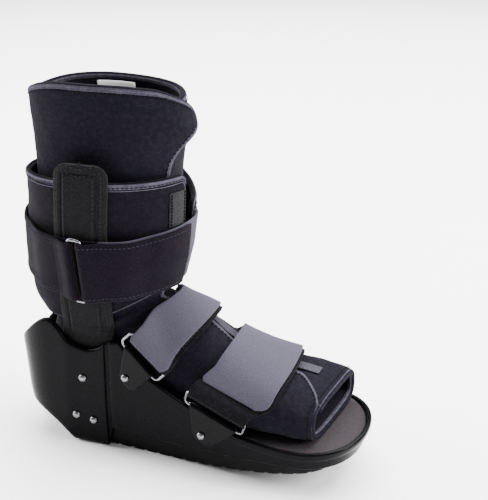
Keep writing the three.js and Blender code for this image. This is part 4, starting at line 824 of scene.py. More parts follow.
# One row for each section across the liner, from its front or ridge to its back or sole.
# fx, bx: front and back, shares of the shell length. fz, bz: heights, shares of the liner's rise.
# width: share of the shell's room, or of the shaft where shaft is 1. edge: angle of the free edge.
# gape: how far the near flap stands off the far one. round, flat: squareness in front and behind.
LINER_TABLE = np.array([
    # fx, fz, bx, bz, width, shaft, edge, gape, round, flat
    (0.5065, 1.0000, 0.0500, 0.999, 1.000, 1, 2, 11, 2.2, 2.1),
    (0.5133, 0.9510, 0.0500, 0.949, 1.000, 1, 3, 12, 2.2, 2.1),
    (0.5185, 0.8930, 0.0535, 0.885, 0.990, 1, 15, 9, 2.3, 2.1),
    (0.4843, 0.8020, 0.0601, 0.786, 0.980, 1, 24, 3, 2.3, 2.1),
    (0.4681, 0.6760, 0.0617, 0.660, 0.970, 1, 24, 0, 2.2, 2.1),
    (0.4610, 0.5510, 0.0586, 0.527, 0.930, 1, 24, 0, 2.2, 2.1),
    (0.4458, 0.4750, 0.0617, 0.428, 0.850, 1, 24, 0, 2.2, 2.1),
    (0.4357, 0.4330, 0.0814, 0.337, 0.755, 1, 22, 0, 2.2, 2.1),
    (0.4380, 0.4015, 0.0931, 0.264, 0.865, 0, 20, 0, 2.2, 2.2),
    (0.4384, 0.3760, 0.0769, 0.188, 0.880, 0, 17, 0, 2.2, 2.3),
    (0.4465, 0.3630, 0.0535, 0.116, 0.880, 0, 14, 0, 2.2, 2.4),
    (0.4586, 0.3530, 0.0449, 0.055, 0.880, 0, 11, 0, 2.2, 2.5),
    (0.4738, 0.3450, 0.0667, 0.015, 0.880, 0, 8, 0, 2.2, 2.6),
    (0.4921, 0.3360, 0.1387, 0.000, 0.880, 0, 6, 0, 2.2, 2.8),
    (0.5123, 0.3260, 0.2370, 0.000, 0.885, 0, 4, 0, 2.2, 3),
    (0.5341, 0.3140, 0.3332, 0.000, 0.890, 0, 3, 0, 2.2, 3.2),
    (0.5595, 0.2953, 0.4265, 0.000, 0.890, 0, 3, 0, 2.2, 3.4),
    (0.5932, 0.2590, 0.5197, 0.000, 0.900, 0, 2, 0, 2.3, 3.5),
    (0.6375, 0.2263, 0.6068, 0.000, 0.920, 0, 2, 0, 2.3, 3.6),
    (0.6981, 0.1945, 0.6859, 0.000, 0.925, 0, 1, 0, 2.4, 3.6),
    (0.7619, 0.1746, 0.7598, 0.000, 0.930, 0, 1, 0, 2.5, 3.6),
    (0.8151, 0.1625, 0.8201, 0.000, 0.935, 0, 2, 0, 2.6, 3.6),
    (0.8552, 0.1552, 0.8602, 0.000, 0.935, 0, 14, 0, 2.6, 3.6),
    (0.8815, 0.1488, 0.8865, 0.000, 0.935, 0, 27, 0, 2.6, 3.6),
    (0.8977, 0.1435, 0.9027, 0.000, 0.930, 0, 42, 0, 2.6, 3.6),
])
LAST_ROW = len(LINER_TABLE) - 1
INSOLE_TOP, LINER_TOP, LINER_WALL, SHAFT_HALF = 37.3, 300.0, 5.0, 47.0
# The far flap runs on under the near one by the overlap's angle, and dips from one angle to another.
FAR_OVERLAP, DIP_FROM, DIP_TO = 40.0, 290, 360
TOE_SLANT = 10.0


def liner_rows():
    """Each row's front x and z, back x and z, half width, edge, gape, round and flat, in millimetres."""
    fx, fz, bx, bz, width, shaft, edge, gape, rounded, flat = LINER_TABLE.T
    back_x = bx * SHELL_LENGTH
    rise = LINER_TOP - INSOLE_TOP
    room = half_width(np.maximum(back_x, HEEL_ROUND)) - flare(floor_top(back_x)) - SHELL_WALL
    half = width * mix(room, SHAFT_HALF, shaft)
    back_z = floor_top(back_x) + 4.1 + bz * rise
    return np.stack([fx * SHELL_LENGTH, INSOLE_TOP + fz * rise, back_x, back_z, half, edge, gape, rounded,
                     flat], -1)


LINER_ROWS = liner_rows()


def rim_drop(degrees, edge):
    """How far the rim falls: a round corner and a slope at the near flap, a dip at the back and a
    slope down the far side, less a swell in the middle of the near side.
    """
    corner = 16 * (1 - np.sqrt(1 - 0.97 * np.clip(1 - (degrees - edge) / 26, 0, 1) ** 2))
    near_slope = 6.5 * (1 - smooth(0, 80, degrees - edge))
    far_slope = 13 * smooth(245, 385, degrees)
    back_dip = 6 * np.exp(-((degrees - 178) / 34) ** 2)
    near_swell = 6.2 * smooth(12, 50, degrees) * (1 - smooth(105, 165, degrees))
    return corner + near_slope + far_slope + back_dip - near_swell


def toe_slant(y, place):
    """How far a point beside the middle moves along x, more and more over the last rows."""
    return TOE_SLANT * y / TOE_HALF * smooth(LAST_ROW - 5, LAST_ROW, place)


def liner_point(place, degrees, offset=0.0):
    """A point of the liner: row number along the boot, angle round the section, distance off it.

    Each half of a section is a superellipse; the far flap dips below the near one, and at the toe's
    opening the sections slant.
    """
    place, degrees = np.broadcast_arrays(np.asarray(place, float), np.asarray(degrees, float))
    fx, fz, bx, bz, wide, edge, gape, rounded, flat = np.moveaxis(through_rows(LINER_ROWS, place), -1, 0)
    half = np.hypot(fx - bx, fz - bz) / 2
    def flat_point(angle):
        c, s = np.cos(np.radians(angle)), np.sin(np.radians(angle))
        power = 2 / np.where(c > 0, rounded, flat)
        return half * signed_power(c, power), wide * signed_power(s, power)
    a, b = flat_point(degrees)
    a0, b0 = flat_point(degrees - 0.5)
    a1, b1 = flat_point(degrees + 0.5)
    length = np.maximum(np.hypot(a1 - a0, b1 - b0), 1e-9)
    out = offset - (LINER_WALL + 0.5 + gape) * smooth(DIP_FROM, DIP_TO, degrees)
    ahead = a + (b1 - b0) / length * out
    beside = b - (a1 - a0) / length * out
    ux, uz = (fx - bx) / (2 * half), (fz - bz) / (2 * half)
    x = (fx + bx) / 2 + ux * ahead + toe_slant(-beside, place)
    z = (fz + bz) / 2 + uz * ahead - rim_drop(degrees, edge) * (1 - smooth(0, 3, place))
    return np.stack([x, -beside, z], -1)


def liner_angles(place, columns):
    """Angles round one row: even to the far flap's edge, closer at the near flap's free edge."""
    t = np.linspace(0, 1, columns)[None]
    edge = through_rows(LINER_ROWS, place)[:, 5:6]
    return (360 + FAR_OVERLAP) * t + edge * (1 - t) ** 6


def liner_folds(place, degrees, points):
    """Creases across the ankle's bend, slack waves on the shaft and soft unevenness all over."""
    depth = settings().fold_depth * 1000
    round_by = np.cos(np.radians(degrees))
    bend = np.exp(-((place - 8.6) / 3.0) ** 2) * smooth(-0.75, 0.1, round_by)
    creases = np.sin(place * 3.9 + 1.3 * np.sin(np.radians(degrees) * 2.0) + 0.8) * bend
    shaft = ripple(points, 62, 3) * (1 - smooth(3, 8, place)) * 0.8
    on_foot = smooth(13, 16, place) * (1 - smooth(20, 22, place))
    toe = np.sin(place * 2.7 + 0.03 * points[..., 1]) * on_foot * 0.35
    quiet = smooth(0, 1.2, place) * (1 - smooth(LAST_ROW - 2, LAST_ROW, place))
    return (depth * (creases + shaft + toe) + 0.35 * ripple(points, 17, 4)) * quiet


def liner_grids():
    """Outer and inner faces of the liner."""
    place = np.linspace(0, LAST_ROW, 157)
    degrees = liner_angles(place, 141)
    place = np.broadcast_to(place[:, None], degrees.shape)
    bare = liner_point(place, degrees)
    outer = liner_point(place, degrees, liner_folds(place, degrees, bare))
    return outer, liner_point(place, degrees, -LINER_WALL)


class BOOT_OT_liner(bpy.types.Operator):
    """Build the padded liner with its bound edges, stitches, hook strip and bare label."""

    bl_idname = "boot.liner"
    bl_label = "Liner"

    def execute(self, context):
        s = settings()
        outer, inner = liner_grids()
        cloth = finish_for("liner_cloth", woven, s.liner, pitch=1.3, ribs=0.12, fuzz=0.30, sheen=0.12)
        body = sheet_piece("liner_cloth", outer, inner, cloth, ["liner"], bulge=0.5)
        tape = finish_for("binding_tape", woven, s.binding, pitch=0.9, ribs=0.12, fuzz=0.15, sheen=0.2)
        width = s.binding_width * 1000
        tube_piece("liner_binding", [binding_tube(outer, inner, width, 0.55)], tape)
        normals = normals_toward(outer, 20, 30, (0, -1, 0))
        near_edge = long_sides(outer, normals)[0]
        lines = [raised_line(*grids, width - 0.9, 0.62, cut) for grids, cut in (
            ((outer, normals), slice(4, None)), (near_edge, slice(6, -5)),
            ((outer[::-1], normals[::-1]), slice(4, -6)))]
        stitch_piece("liner_stitches", lines, thread_finish("dark_thread", s.webbing, 0.1))
        self.hook_strip()
        self.label()
        return {"FINISHED"}

    def hook_strip(self):
        """Hook tape on the far flap beside the free edge: a narrow raised sheet."""
        place = np.linspace(15.5, 21.6, 60)[:, None]
        liner_half = through_rows(LINER_ROWS, place[:, 0])[:, 4:5]
        tape_half = 5
        middle = 360 - np.degrees((0.4 + tape_half) / liner_half) - 8
        degrees = middle + np.linspace(-1, 1, 9)[None] * np.degrees(tape_half / liner_half)
        place = np.broadcast_to(place, degrees.shape)
        outer, inner = liner_point(place, degrees, 1.6), liner_point(place, degrees, 0.4)
        finish = finish_for("hook_tape", looped, (0.165, 0.160, 0.185), size=1.2, depth=0.5)
        piece = sheet_piece("hook_strip", outer, inner, finish, ["liner_hook_strip"])
        declare_sheet(outer)

    def label(self):
        """The bare sewn label inside the far wall."""
        half_long, tall, liner_radius = 18, 24, 75
        half = math.degrees(half_long / liner_radius)
        row_height = np.linalg.norm(LINER_ROWS[1, [0, 1]] - LINER_ROWS[2, [0, 1]])
        place = 0.5 + np.linspace(0, 1, 14)[:, None] * tall / row_height
        degrees = 256 + np.linspace(-half, half, 22)[None]
        degrees, place = np.broadcast_arrays(degrees, place)
        finish = finish_for("label_cloth", woven, (0.97, 0.97, 0.975), pitch=0.8, ribs=0.05, fuzz=0.06,
                            sheen=0.05, mottle=0.03, rough=0.7)
        outer, inner = liner_point(place, degrees, -5.4), liner_point(place, degrees, -6.0)
        piece = sheet_piece("label_cloth", inner, outer, finish, ["liner_label"], rim=1)
        declare_sheet(outer)


def declare_sheet(grid):
    lengths = cloth_lengths(grid)


# ---------------------------------------------------------------- calf wrap, patches and uprights

# z: share of the wrap's height. middle: share of the shell length. long, wide: shares of its size.
WRAP_TABLE = np.array([
    (0.0, 0.2235, 0.69, 0.69),
    (0.112, 0.2295, 0.83, 0.752),
    (0.296, 0.244, 0.912, 0.832),
    (0.472, 0.2535, 0.943, 0.902),
    (0.696, 0.261, 0.953, 0.982),
    (1.0, 0.2655, 0.95, 1.0),
])
WRAP_BOTTOM, WRAP_TOP, WRAP_FRONT_BOTTOM, WRAP_WALL = 113.0, 238.0, 150.0, 3.0
WRAP_CURVE = through_rows(WRAP_TABLE, np.linspace(0, 5, 801))
WRAP_NEAR, WRAP_FAR, WRAP_SQUARE = 10.0, 356.0, 2.2
WRAP_HALF_LONG, WRAP_HALF_WIDE, WRAP_CORNER, WRAP_FAR_DROP = 71.5, 56.0, 7.0, 27.0


def wrap_row(z):
    """Centre and half sizes of the wrap's section at a height."""
    share = (np.asarray(z, float) - WRAP_BOTTOM) / (WRAP_TOP - WRAP_BOTTOM)
    middle, long, wide = (np.interp(share, WRAP_CURVE[:, 0], WRAP_CURVE[:, k]) for k in (1, 2, 3))
    return middle * SHELL_LENGTH, long * WRAP_HALF_LONG, wide * WRAP_HALF_WIDE


def calf_point(degrees, z, offset=0.0):
    """A point round the calf: a superellipse at each height, moved out by the offset."""
    degrees, z, offset = np.broadcast_arrays(np.asarray(degrees, float), z, offset)
    middle, long, wide = wrap_row(z)
    power = 2 / WRAP_SQUARE
    a = np.radians(degrees)
    return np.stack([middle + (long + offset) * signed_power(np.cos(a), power),
                     -(wide + offset) * signed_power(np.sin(a), power), z + 0.0], -1)


def wrap_corner(reach):
    """How far the rim falls at a distance from the wrap's end: a quarter of a circle."""
    share = np.clip(1 - reach / WRAP_CORNER, 0, 1)
    return WRAP_CORNER * (1 - np.sqrt(1 - share ** 2))


def wrap_bottom(degrees):
    """Height of the wrap's lower edge, which rises to the front."""
    return mix(WRAP_BOTTOM, WRAP_FRONT_BOTTOM, np.clip(np.cos(np.radians(degrees)), 0, 1) ** 1.3)


def wrap_top(degrees):
    """The wrap's rim: a little lower at the back, falling to the far end, round at both ends."""
    per_degree = math.radians(1) * (WRAP_HALF_LONG + WRAP_HALF_WIDE) / 2
    ends = sum(wrap_corner(reach * per_degree) for reach in (degrees - WRAP_NEAR, WRAP_FAR - degrees))
    far_slope = WRAP_FAR_DROP * smooth(270, WRAP_FAR, degrees)
    return WRAP_TOP - 2 * (1 - np.cos(np.radians(degrees))) - far_slope - ends


def wrap_degrees(columns):
    """Angles round the wrap, closer together at its two round corners."""
    t = np.linspace(0, 1, columns)
    return mix(WRAP_NEAR, WRAP_FAR, t - 0.055 * np.sin(TAU * t))


def calf_grid(degrees, low, high, rows, offset):
    """A grid round the calf from its upper edge down to its lower one."""
    z = mix(high, low, np.linspace(0, 1, rows)[:, None])
    return calf_point(degrees[None], z, offset)


class BOOT_OT_wrap(bpy.types.Operator):
    """Build the padded calf wrap with its bound rim, light piping and stitches, and its two patches."""

    bl_idname = "boot.wrap"
    bl_label = "Calf wrap"

    def execute(self, context):
        s = settings()
        degrees = wrap_degrees(181)
        rows = 61
        edges = wrap_bottom(degrees), wrap_top(degrees)
        bare = calf_grid(degrees, *edges, rows, 0.0)
        t = np.linspace(0, 1, rows)[:, None]
        under_strap = smooth(0.22, 0.32, t) * (1 - smooth(0.70, 0.82, t))
        calm = smooth(0, 0.06, t) * (1 - smooth(0.95, 1, t)) * (1 - 0.7 * under_strap)
        swell = (0.9 * ripple(bare, 48, 11) + 0.35 * ripple(bare, 19, 12)) * calm
        outer = calf_grid(degrees, *edges, rows, np.clip(swell, -1.2, 0.6))
        inner = calf_grid(degrees, *edges, rows, -WRAP_WALL)
        cloth = finish_for("wrap_cloth", woven, s.wrap, pitch=1.5, ribs=0.15, fuzz=0.32, sheen=0.22)
        body = sheet_piece("wrap_cloth", outer, inner, cloth, ["calf_wrap"], bulge=0.7)
        tape = finish_for("wrap_tape", woven, s.binding, pitch=0.9, ribs=0.12, fuzz=0.15, sheen=0.15)
        width = s.binding_width * 1000
        tube_piece("wrap_binding", [binding_tube(outer, inner, width, 0.5)], tape)
        normals = normals_toward(outer, 30, 45, (0, -1, 0))
        piping = []
        for inset, height, radius in ((0.7, 0.62, 0.34), (width + 0.1, 0.15, 0.3)):
            piping.append(cord_tube(*raised_line(outer, normals, inset, height), radius))
        lines = [raised_line(outer, normals, width * 0.55, 0.72)]
        lines += [raised_line(*grids, width + 1.0, 0.2, slice(8, -4)) for grids in long_sides(outer, normals)]
        tube_piece("wrap_piping", piping, thread_finish("light_thread", s.piping, 0.1))
        dark = thread_finish("dark_thread", s.webbing, 0.1)
        stitch_piece("wrap_stitches", lines, dark)
        self.patches(dark)
        return {"FINISHED"}

    def patches(self, thread):
        """Pile patches on the two front ends, each a thin sheet sewn down along its sides."""
        low = CALF_LOW + CALF_WIDTH + CALF_FRONT_RISE + 1.0
        far_top = WRAP_TOP - WRAP_FAR_DROP - 3.5
        for name, start, end, top, colour, slot in (
                ("near", WRAP_NEAR + 1, WRAP_NEAR + 18, 226.0, (0.105, 0.103, 0.112), "patch"),
                ("far", WRAP_FAR - 14, WRAP_FAR - 2, far_top, (0.10, 0.098, 0.11), "dark_patch")):
            degrees = np.linspace(start, end, 21)
            outer, inner = (calf_grid(degrees, low, top, 31, offset) for offset in (1.3, 0.3))
            finish = finish_for(f"{name}_pile", looped, colour, size=1.3, depth=0.5)
            piece = sheet_piece(f"patch_{name}", outer, inner, finish, [f"wrap_patch_{name}"])
            declare_sheet(outer)
            normals = unit(outer - inner)
            lines = [(outer[:, column], normals[:, column]) for column in (1, 2, -3, -2)]
            stitch_piece(f"patch_stitches_{name}", lines, thread, pitch=2.6)


# The calf strap: its lower edge, its width, how much higher it lies in front and behind, and how
# far each ring's bars stand from the middle of the side.
CALF_LOW, CALF_WIDTH, CALF_FRONT_RISE, CALF_BAR = 142.0, 50.0, 7.0, 5.5

UPRIGHT_BASE, UPRIGHT_TOP, UPRIGHT_X, UPRIGHT_LEAN = 37.6, 251.0, 67.0, 0.066
UPRIGHT_WIDTH, UPRIGHT_THICK, UPRIGHT_CORNER = 42.0, 4.0, 11.0


def upright_face(x, z):
    """Distance of the upright's inner face from the middle plane: flat in the shell, then on the wrap."""
    middle, long, wide = wrap_row(np.maximum(z, WRAP_BOTTOM))
    share = np.clip(np.abs(x - middle) / long, 0, 1)
    on_wrap = wide * (1 - share ** WRAP_SQUARE) ** (1 / WRAP_SQUARE) + 0.7
    in_shell = half_width(HEEL_ROUND) - SHELL_WALL - UPRIGHT_THICK - 0.4
    return mix(in_shell, on_wrap, smooth(100, WRAP_BOTTOM, z))


def upright_grid(side, offset):
    """The sleeve: straight sides that lean forward, and a top with two round corners."""
    turns = np.radians(np.linspace(6, 90, 24))
    straight = np.linspace(UPRIGHT_BASE, UPRIGHT_TOP - UPRIGHT_CORNER, 160)
    z = np.concatenate([straight, UPRIGHT_TOP - UPRIGHT_CORNER * (1 - np.sin(turns))])
    half = UPRIGHT_WIDTH / 2
    width = np.concatenate([np.full(len(straight), half), half - UPRIGHT_CORNER * (1 - np.cos(turns))])
    t = np.linspace(-1, 1, 61)
    x = (UPRIGHT_X + UPRIGHT_LEAN * (z - UPRIGHT_BASE))[:, None] + width[:, None] * t[None]
    z = z[:, None] * np.ones_like(x)
    y = upright_face(x, z) + offset(t[None], z)
    return np.stack([x, side * y, z], -1)


# The sleeve's groove: its depth, its distance from the edge and its half width; the panel's rise.
SLEEVE_GROOVE, GROOVE_INSET, GROOVE_HALF, PANEL_RISE = 0.9, 6.8, 0.8, 0.35


def sleeve_relief(t, z):
    """Thickness of the sleeve: falling at its edges, with a groove round a raised middle panel."""
    in_from_edge = np.minimum((1 - np.abs(t)) * UPRIGHT_WIDTH / 2, UPRIGHT_TOP - z)
    above = smooth(100, 112, z)
    groove = SLEEVE_GROOVE * np.exp(-((in_from_edge - GROOVE_INSET) / GROOVE_HALF) ** 2)
    panel = PANEL_RISE * smooth(7, 8.5, in_from_edge)
    return UPRIGHT_THICK + (panel - groove - 0.9 * np.abs(t) ** 6) * above


class BOOT_OT_uprights(bpy.types.Operator):
    """Build the two uprights in their pile sleeves, each with a double row of stitches."""

    bl_idname = "boot.uprights"
    bl_label = "Uprights"

    def execute(self, context):
        s = settings()
        pile = finish_for("sleeve_pile", looped, s.sleeve, size=1.5, depth=0.55, sheen=0.3)
        thread = thread_finish("sleeve_thread", (0.17, 0.168, 0.18))
        for name, side in SIDES:
            outer = upright_grid(side, sleeve_relief)
            inner = upright_grid(side, lambda t, z: 0.0)
            piece = sheet_piece(f"sleeve_{name}", outer, inner, pile, [f"upright_{name}"],
                                bulge=0.8)
            normals = normals_toward(outer, 50, 16, (0, side, 0))
            lines = [line for inset in (3.2, 9.2) for line in self.border_lines(outer, normals, inset)]
            stitch_piece(f"sleeve_stitches_{name}", lines, thread)
        return {"FINISHED"}

    def border_lines(self, outer, normals, inset):
        """Lines one distance in from the two long sides and the top, on the part above the shell."""
        height, above_shell = 0.15, 104
        share = inset / (UPRIGHT_WIDTH / 2)
        columns = outer.shape[1]
        lines = []
        for side in (-1, 1):
            place = (side * (1 - share) + 1) / 2 * (columns - 1)
            index = int(place)
            line = mix(outer[:, index], outer[:, index + 1], place - index)
            up = normals[:, index]
            keep = (line[:, 2] > above_shell) & (line[:, 2] < UPRIGHT_TOP - inset)
            lines.append((line[keep] + up[keep] * height, up[keep]))
        keep = np.abs(np.linspace(-1, 1, columns)) < 1 - share
        lines.append(raised_line(outer[::-1], normals[::-1], inset, height, keep))
        return lines


# ---------------------------------------------------------------- straps


def centripetal(points, closed):
    """Dense points on the centripetal Catmull-Rom curve through the given ones."""
    per_span = 24
    points = np.asarray(points, float)
    if closed:
        before, start, end, after = (np.roll(points, k, axis=0) for k in (1, 0, -1, -2))
    else:
        first, last = 2 * points[:1] - points[1:2], 2 * points[-1:] - points[-2:-1]
        whole = np.concatenate([first, points, last])
        before, start, end, after = whole[:-3], whole[1:-2], whole[2:-1], whole[3:]
    d0, d1, d2 = (np.linalg.norm(b - a, axis=1, keepdims=True) ** 0.5
                  for a, b in ((before, start), (start, end), (end, after)))
    t1 = ((start - before) / d0 - (end - before) / (d0 + d1) + (end - start) / d1) * d1
    t2 = ((end - start) / d1 - (after - start) / (d1 + d2) + (after - end) / d2) * d1
    t = (np.arange(per_span) / per_span)[None, :, None]
    a, b, ta, tb = (part[:, None] for part in (start, end, t1, t2))
    made = (a + ta * t + (3 * (b - a) - 2 * ta - tb) * t ** 2 + (2 * (a - b) + ta + tb) * t ** 3)
    made = made.reshape(-1, 3)
    return made if closed else np.concatenate([made, points[-1:]])


class Band:
    """The surface a strap lies on: curves side by side, read at s along and w across, h off it."""

    def __init__(self, columns, closed=False):
        self.curves = np.stack([centripetal(points, closed) for points in columns])
        self.closed = closed
        if closed:
            self.curves = np.concatenate([self.curves, self.curves[:, :1]], axis=1)
        self.travelled = along(self.curves[len(columns) // 2])
        self.length = self.travelled[-1]

    def base(self, s, w):
        """A point on the surface; beyond an open band's ends it runs straight on."""
        s, w = np.broadcast_arrays(np.asarray(s, float), np.asarray(w, float))
        held = s % self.length if self.closed else np.clip(s, 0, self.length)
        t = np.interp(held, self.travelled, np.arange(len(self.travelled)))
        k = np.clip(t.astype(int), 0, len(self.travelled) - 2)
        place = w * (len(self.curves) - 1)
        column = np.clip(place.astype(int), 0, len(self.curves) - 2)
        def on(curve):
            a, b = self.curves[curve, k], self.curves[curve, k + 1]
            return mix(a, b, (t - k)[..., None]) + unit(b - a) * (s - held)[..., None] * (not self.closed)
        return mix(on(column), on(column + 1), (place - column)[..., None])

    def at(self, s, w, h):
        """A point at height h off the surface, along its normal."""
        s, w, h = np.broadcast_arrays(np.asarray(s, float), np.asarray(w, float), np.asarray(h, float))
        ahead = self.base(s + 1.5, w) - self.base(s - 1.5, w)
        across = self.base(s, 1.0) - self.base(s, 0.0)
        return self.base(s, w) + unit(np.cross(across, ahead)) * h[..., None]


STRAP_THICK, RING_WIRE, RING_PLAY, GAP, TURN_TAIL = 1.8, 2.8, 0.8, 0.4, 12.0
# Heights off the band of a strap's lower leaf, the bar it turns round, the upper leaf and the ends.
BASE_LEVEL = GAP + STRAP_THICK / 2
BAR_LEVEL = BASE_LEVEL + STRAP_THICK / 2 + RING_PLAY + RING_WIRE / 2
TURN_RADIUS = RING_WIRE / 2 + RING_PLAY + STRAP_THICK / 2
TURN_LEVEL = BAR_LEVEL + TURN_RADIUS
TAIL_LEVEL = BASE_LEVEL + STRAP_THICK + 0.3
OVER_LEVEL = TAIL_LEVEL + 0.9
OVER_END_LEVEL = TURN_LEVEL + STRAP_THICK - 0.3


def turn_round(bar, way):
    """Half a circle round a bar, from the lower leaf to the upper one: rows of place and height."""
    a = np.linspace(-math.pi / 2, math.pi / 2, 15)
    return np.stack([bar + way * TURN_RADIUS * np.cos(a), BAR_LEVEL + TURN_RADIUS * np.sin(a)], -1)


def ease_run(a, b, low, high):
    """A run from a to b that changes its height on an S curve, without its first point."""
    t = np.linspace(0, 1, 11)[1:]
    return np.stack([mix(a, b, t), mix(low, high, smooth(0, 1, t))], -1)


def flat_run(a, b, level):
    """A run from a to b at one height in steps of about 3 mm, without its first point."""
    s = np.linspace(a, b, max(int(abs(b - a) / 3), 2) + 1)[1:]
    return np.stack([s, np.full(len(s), level)], -1)


def under_path(a, b):
    """A strap turned back over bar a, ending plain short of bar b."""
    way = np.sign(a - b)
    tail = ease_run(a, a - way * TURN_TAIL, TURN_LEVEL, TAIL_LEVEL)[::-1]
    return np.concatenate([tail, turn_round(a, way)[::-1],
                           flat_run(a, b + way * (TURN_TAIL + 2 * GAP), BASE_LEVEL)])


def over_path(a, b, end):
    """The returned end: under leaf, turn round bar b, then back over the strap to its free end.

    An end that comes near bar a climbs over the under strap's turn there.
    """
    way = np.sign(b - a)
    tail, settled = b - way * TURN_TAIL, b - way * TURN_TAIL * 1.3
    start = np.array([[tail, BASE_LEVEL]])
    under = flat_run(tail, b, BASE_LEVEL)[:-1]
    settle = ease_run(b, settled, TURN_LEVEL, OVER_LEVEL)
    if abs(end - a) < TURN_TAIL:
        climb, climbed = a + way * TURN_TAIL * 5.0, a + way * 2
        over = [flat_run(settled, climb, OVER_LEVEL), ease_run(climb, climbed, OVER_LEVEL, OVER_END_LEVEL),
                flat_run(climbed, end, OVER_END_LEVEL)]
    else:
        over = [flat_run(settled, end, OVER_LEVEL)]
    return np.concatenate([start, under, turn_round(b, way), settle, *over])


def strap_grids(band, path, crown=0.0, clip=0.0, skew=0.0, reach=(0.0, 1.0)):
    """Outer and inner faces of a strap whose middle follows a path; crown swells the outer face.

    clip narrows the last stretch of that length, as cut corners at the free end; skew draws the
    toe side of the free end back by that much; reach is where its two edges lie across the band.
    """
    ahead = unit(np.gradient(path, axis=0))
    side = np.stack([-ahead[:, 1], ahead[:, 0]], -1)
    travelled = along(path)
    left = travelled[-1] - travelled
    width = 1 - 0.09 * (1 - np.clip(left / clip, 0, 1)) if clip else np.ones(len(path))
    w = np.linspace(0, 1, 15)[None]
    place = mix(*reach, 0.5 + (w - 0.5) * width[:, None])
    drawn = skew * w * (1 - smooth(0, 45, left))[:, None]
    def face(step):
        moved = path + side * step
        swell = crown * (1 - np.abs(2 * w - 1) ** 4) * (step > 0) * np.sign(side[:, 1:2])
        return band.at(moved[:, :1] + drawn, place, moved[:, 1:2] + np.clip(swell, 0, None))
    return face(STRAP_THICK / 2), face(-STRAP_THICK / 2)


def calf_rung(degrees, w):
    """A point across the calf strap: w 0 at its top edge, 1 at its lower one."""
    cosine = np.abs(np.cos(np.radians(degrees)))
    lift = 0.9 + (UPRIGHT_THICK + GAP) * (1 - smooth(0.42, 0.72, cosine))
    return calf_point(degrees, CALF_LOW + CALF_FRONT_RISE * cosine ** 2 + (1 - w) * CALF_WIDTH, lift)


def calf_band():
    """One closed band round the leg, straight across near the two rings."""
    count = 64
    index = np.arange(count)
    degrees = 90 - index * 360 / count
    side = np.where((index > count / 4) & (index < count * 3 / 4), -90.0, 90.0)
    rung = calf_rung(side, 1.0) - calf_rung(side, 0.0)
    rung[:, 0] = 0
    free = smooth(0.16, 0.4, np.abs(np.cos(np.radians(degrees))))[:, None]
    columns = []
    for w in (0.0, 0.5, 1.0):
        straight = calf_rung(degrees, 0.5) + rung * (w - 0.5)
        columns.append(mix(straight, calf_rung(degrees, w), free))
    return Band(columns, closed=True)


# How each foot strap lies: its width, its tab's two ends on the slanted edge (shares of the shell
# length), the liner rows under its two edges on top and at the side, how far each edge stands off,
# its rivet (share of the shell length, share of the wall's height), and where its pad ends along
# the band and by how much the toe side of that end is drawn back.
FOOT_STRAPS = {
    "instep": dict(width=37.0, edge=(0.3405, 0.4366), top=(10.6, 15.7), side=(10.4, 15.2),
                   stand=(1.0, 3.5), rivet=(0.3565, 0.77), end=-5.0, skew=1.5),
    "forefoot": dict(width=47.0, edge=(0.539, 0.68), top=(17.7, 20.4), side=(17.4, 20.0),
                     stand=(1.0, 1.6), rivet=(0.5825, 0.68), end=12.0, skew=2.0),
}
# How far the ring's lower bar lies over the edge, its upper bar over the lower one, and how far
# the strap runs straight on from the upper bar.
LOWER_BAR_RISE, RING_REACH, STRAP_LEAD = 2.4, 13.0, 4.0


def wall_middle(x, z):
    return half_width(x) - flare(z) - SHELL_WALL / 2


def lower_bar(strap, side):
    """Both ends of the foot ring's lower bar, just over the slanted edge."""
    x = np.array(strap["edge"]) * SHELL_LENGTH
    z = wall_top(x)
    run = unit(np.array([x[1] - x[0], z[1] - z[0]]))
    x, z = x - run[1] * LOWER_BAR_RISE, z + run[0] * LOWER_BAR_RISE
    return np.stack([x, side * wall_middle(x, z), z], -1)


def contact_points(strap, w):
    """Points of the liner under the strap, up the near side to the ridge, w of the way across it."""
    degrees = np.arange(84, 3, -2.0)
    share = np.sin(np.radians(degrees)) ** 2
    start, end = (mix(top, side, share) for top, side in zip(strap["top"], strap["side"]))
    place = mix(start, end, w)
    points = liner_point(place, degrees, mix(*strap["stand"], w))
    points[:, 0] -= toe_slant(points[:, 1], place)
    return points


def first_contact(start, points):
    """A strap pulled tight leaves its start along the steepest line to any of the points."""
    rise = (points[:, 2] - start[2]) / np.maximum(points[:, 1] - start[1], 0.01)
    return int(np.argmax(rise))


def ring_frame(strap):
    """Directions at the near ring: along its bars, up the strap and away from the foot; its middle."""
    a, b = lower_bar(strap, -1)
    run = unit(b - a)
    up = np.zeros(3)
    for w in (0.0, 0.5, 1.0):
        start, points = mix(a, b, w), contact_points(strap, w)
        up += unit(points[first_contact(start, points)] - start)
    up = unit(up - run * np.dot(up, run))
    return run, up, np.cross(up, run), (a + b) / 2


def foot_band(strap):
    """The path of a foot strap: up from the near ring, over the liner's ridge, down to the far ring."""
    run, up, outward, middle = ring_frame(strap)
    shares = np.linspace(0, 1, 5)
    bars = [middle + run * (w - 0.5) * strap["width"] + up * RING_REACH - outward * BAR_LEVEL
            for w in shares]
    mirror = np.array([1, -1, 1])
    columns = []
    for w, bar in zip(shares, bars):
        lead = bar + up * STRAP_LEAD
        points = contact_points(strap, w)
        points = points[first_contact(lead, points):]
        straight = mix(lead, points[0], np.linspace(0, 1, 6)[:-1, None])
        near = np.concatenate([straight, points])
        whole = np.concatenate([near, near[::-1] * mirror])
        dense = centripetal(whole, closed=False)
        spaced, = resample(dense, np.linspace(0, along(dense)[-1], 33))
        columns.append(np.concatenate([[bar], spaced, [bar * mirror]]))
    return Band(columns)


EDGE_STITCH = 2.6


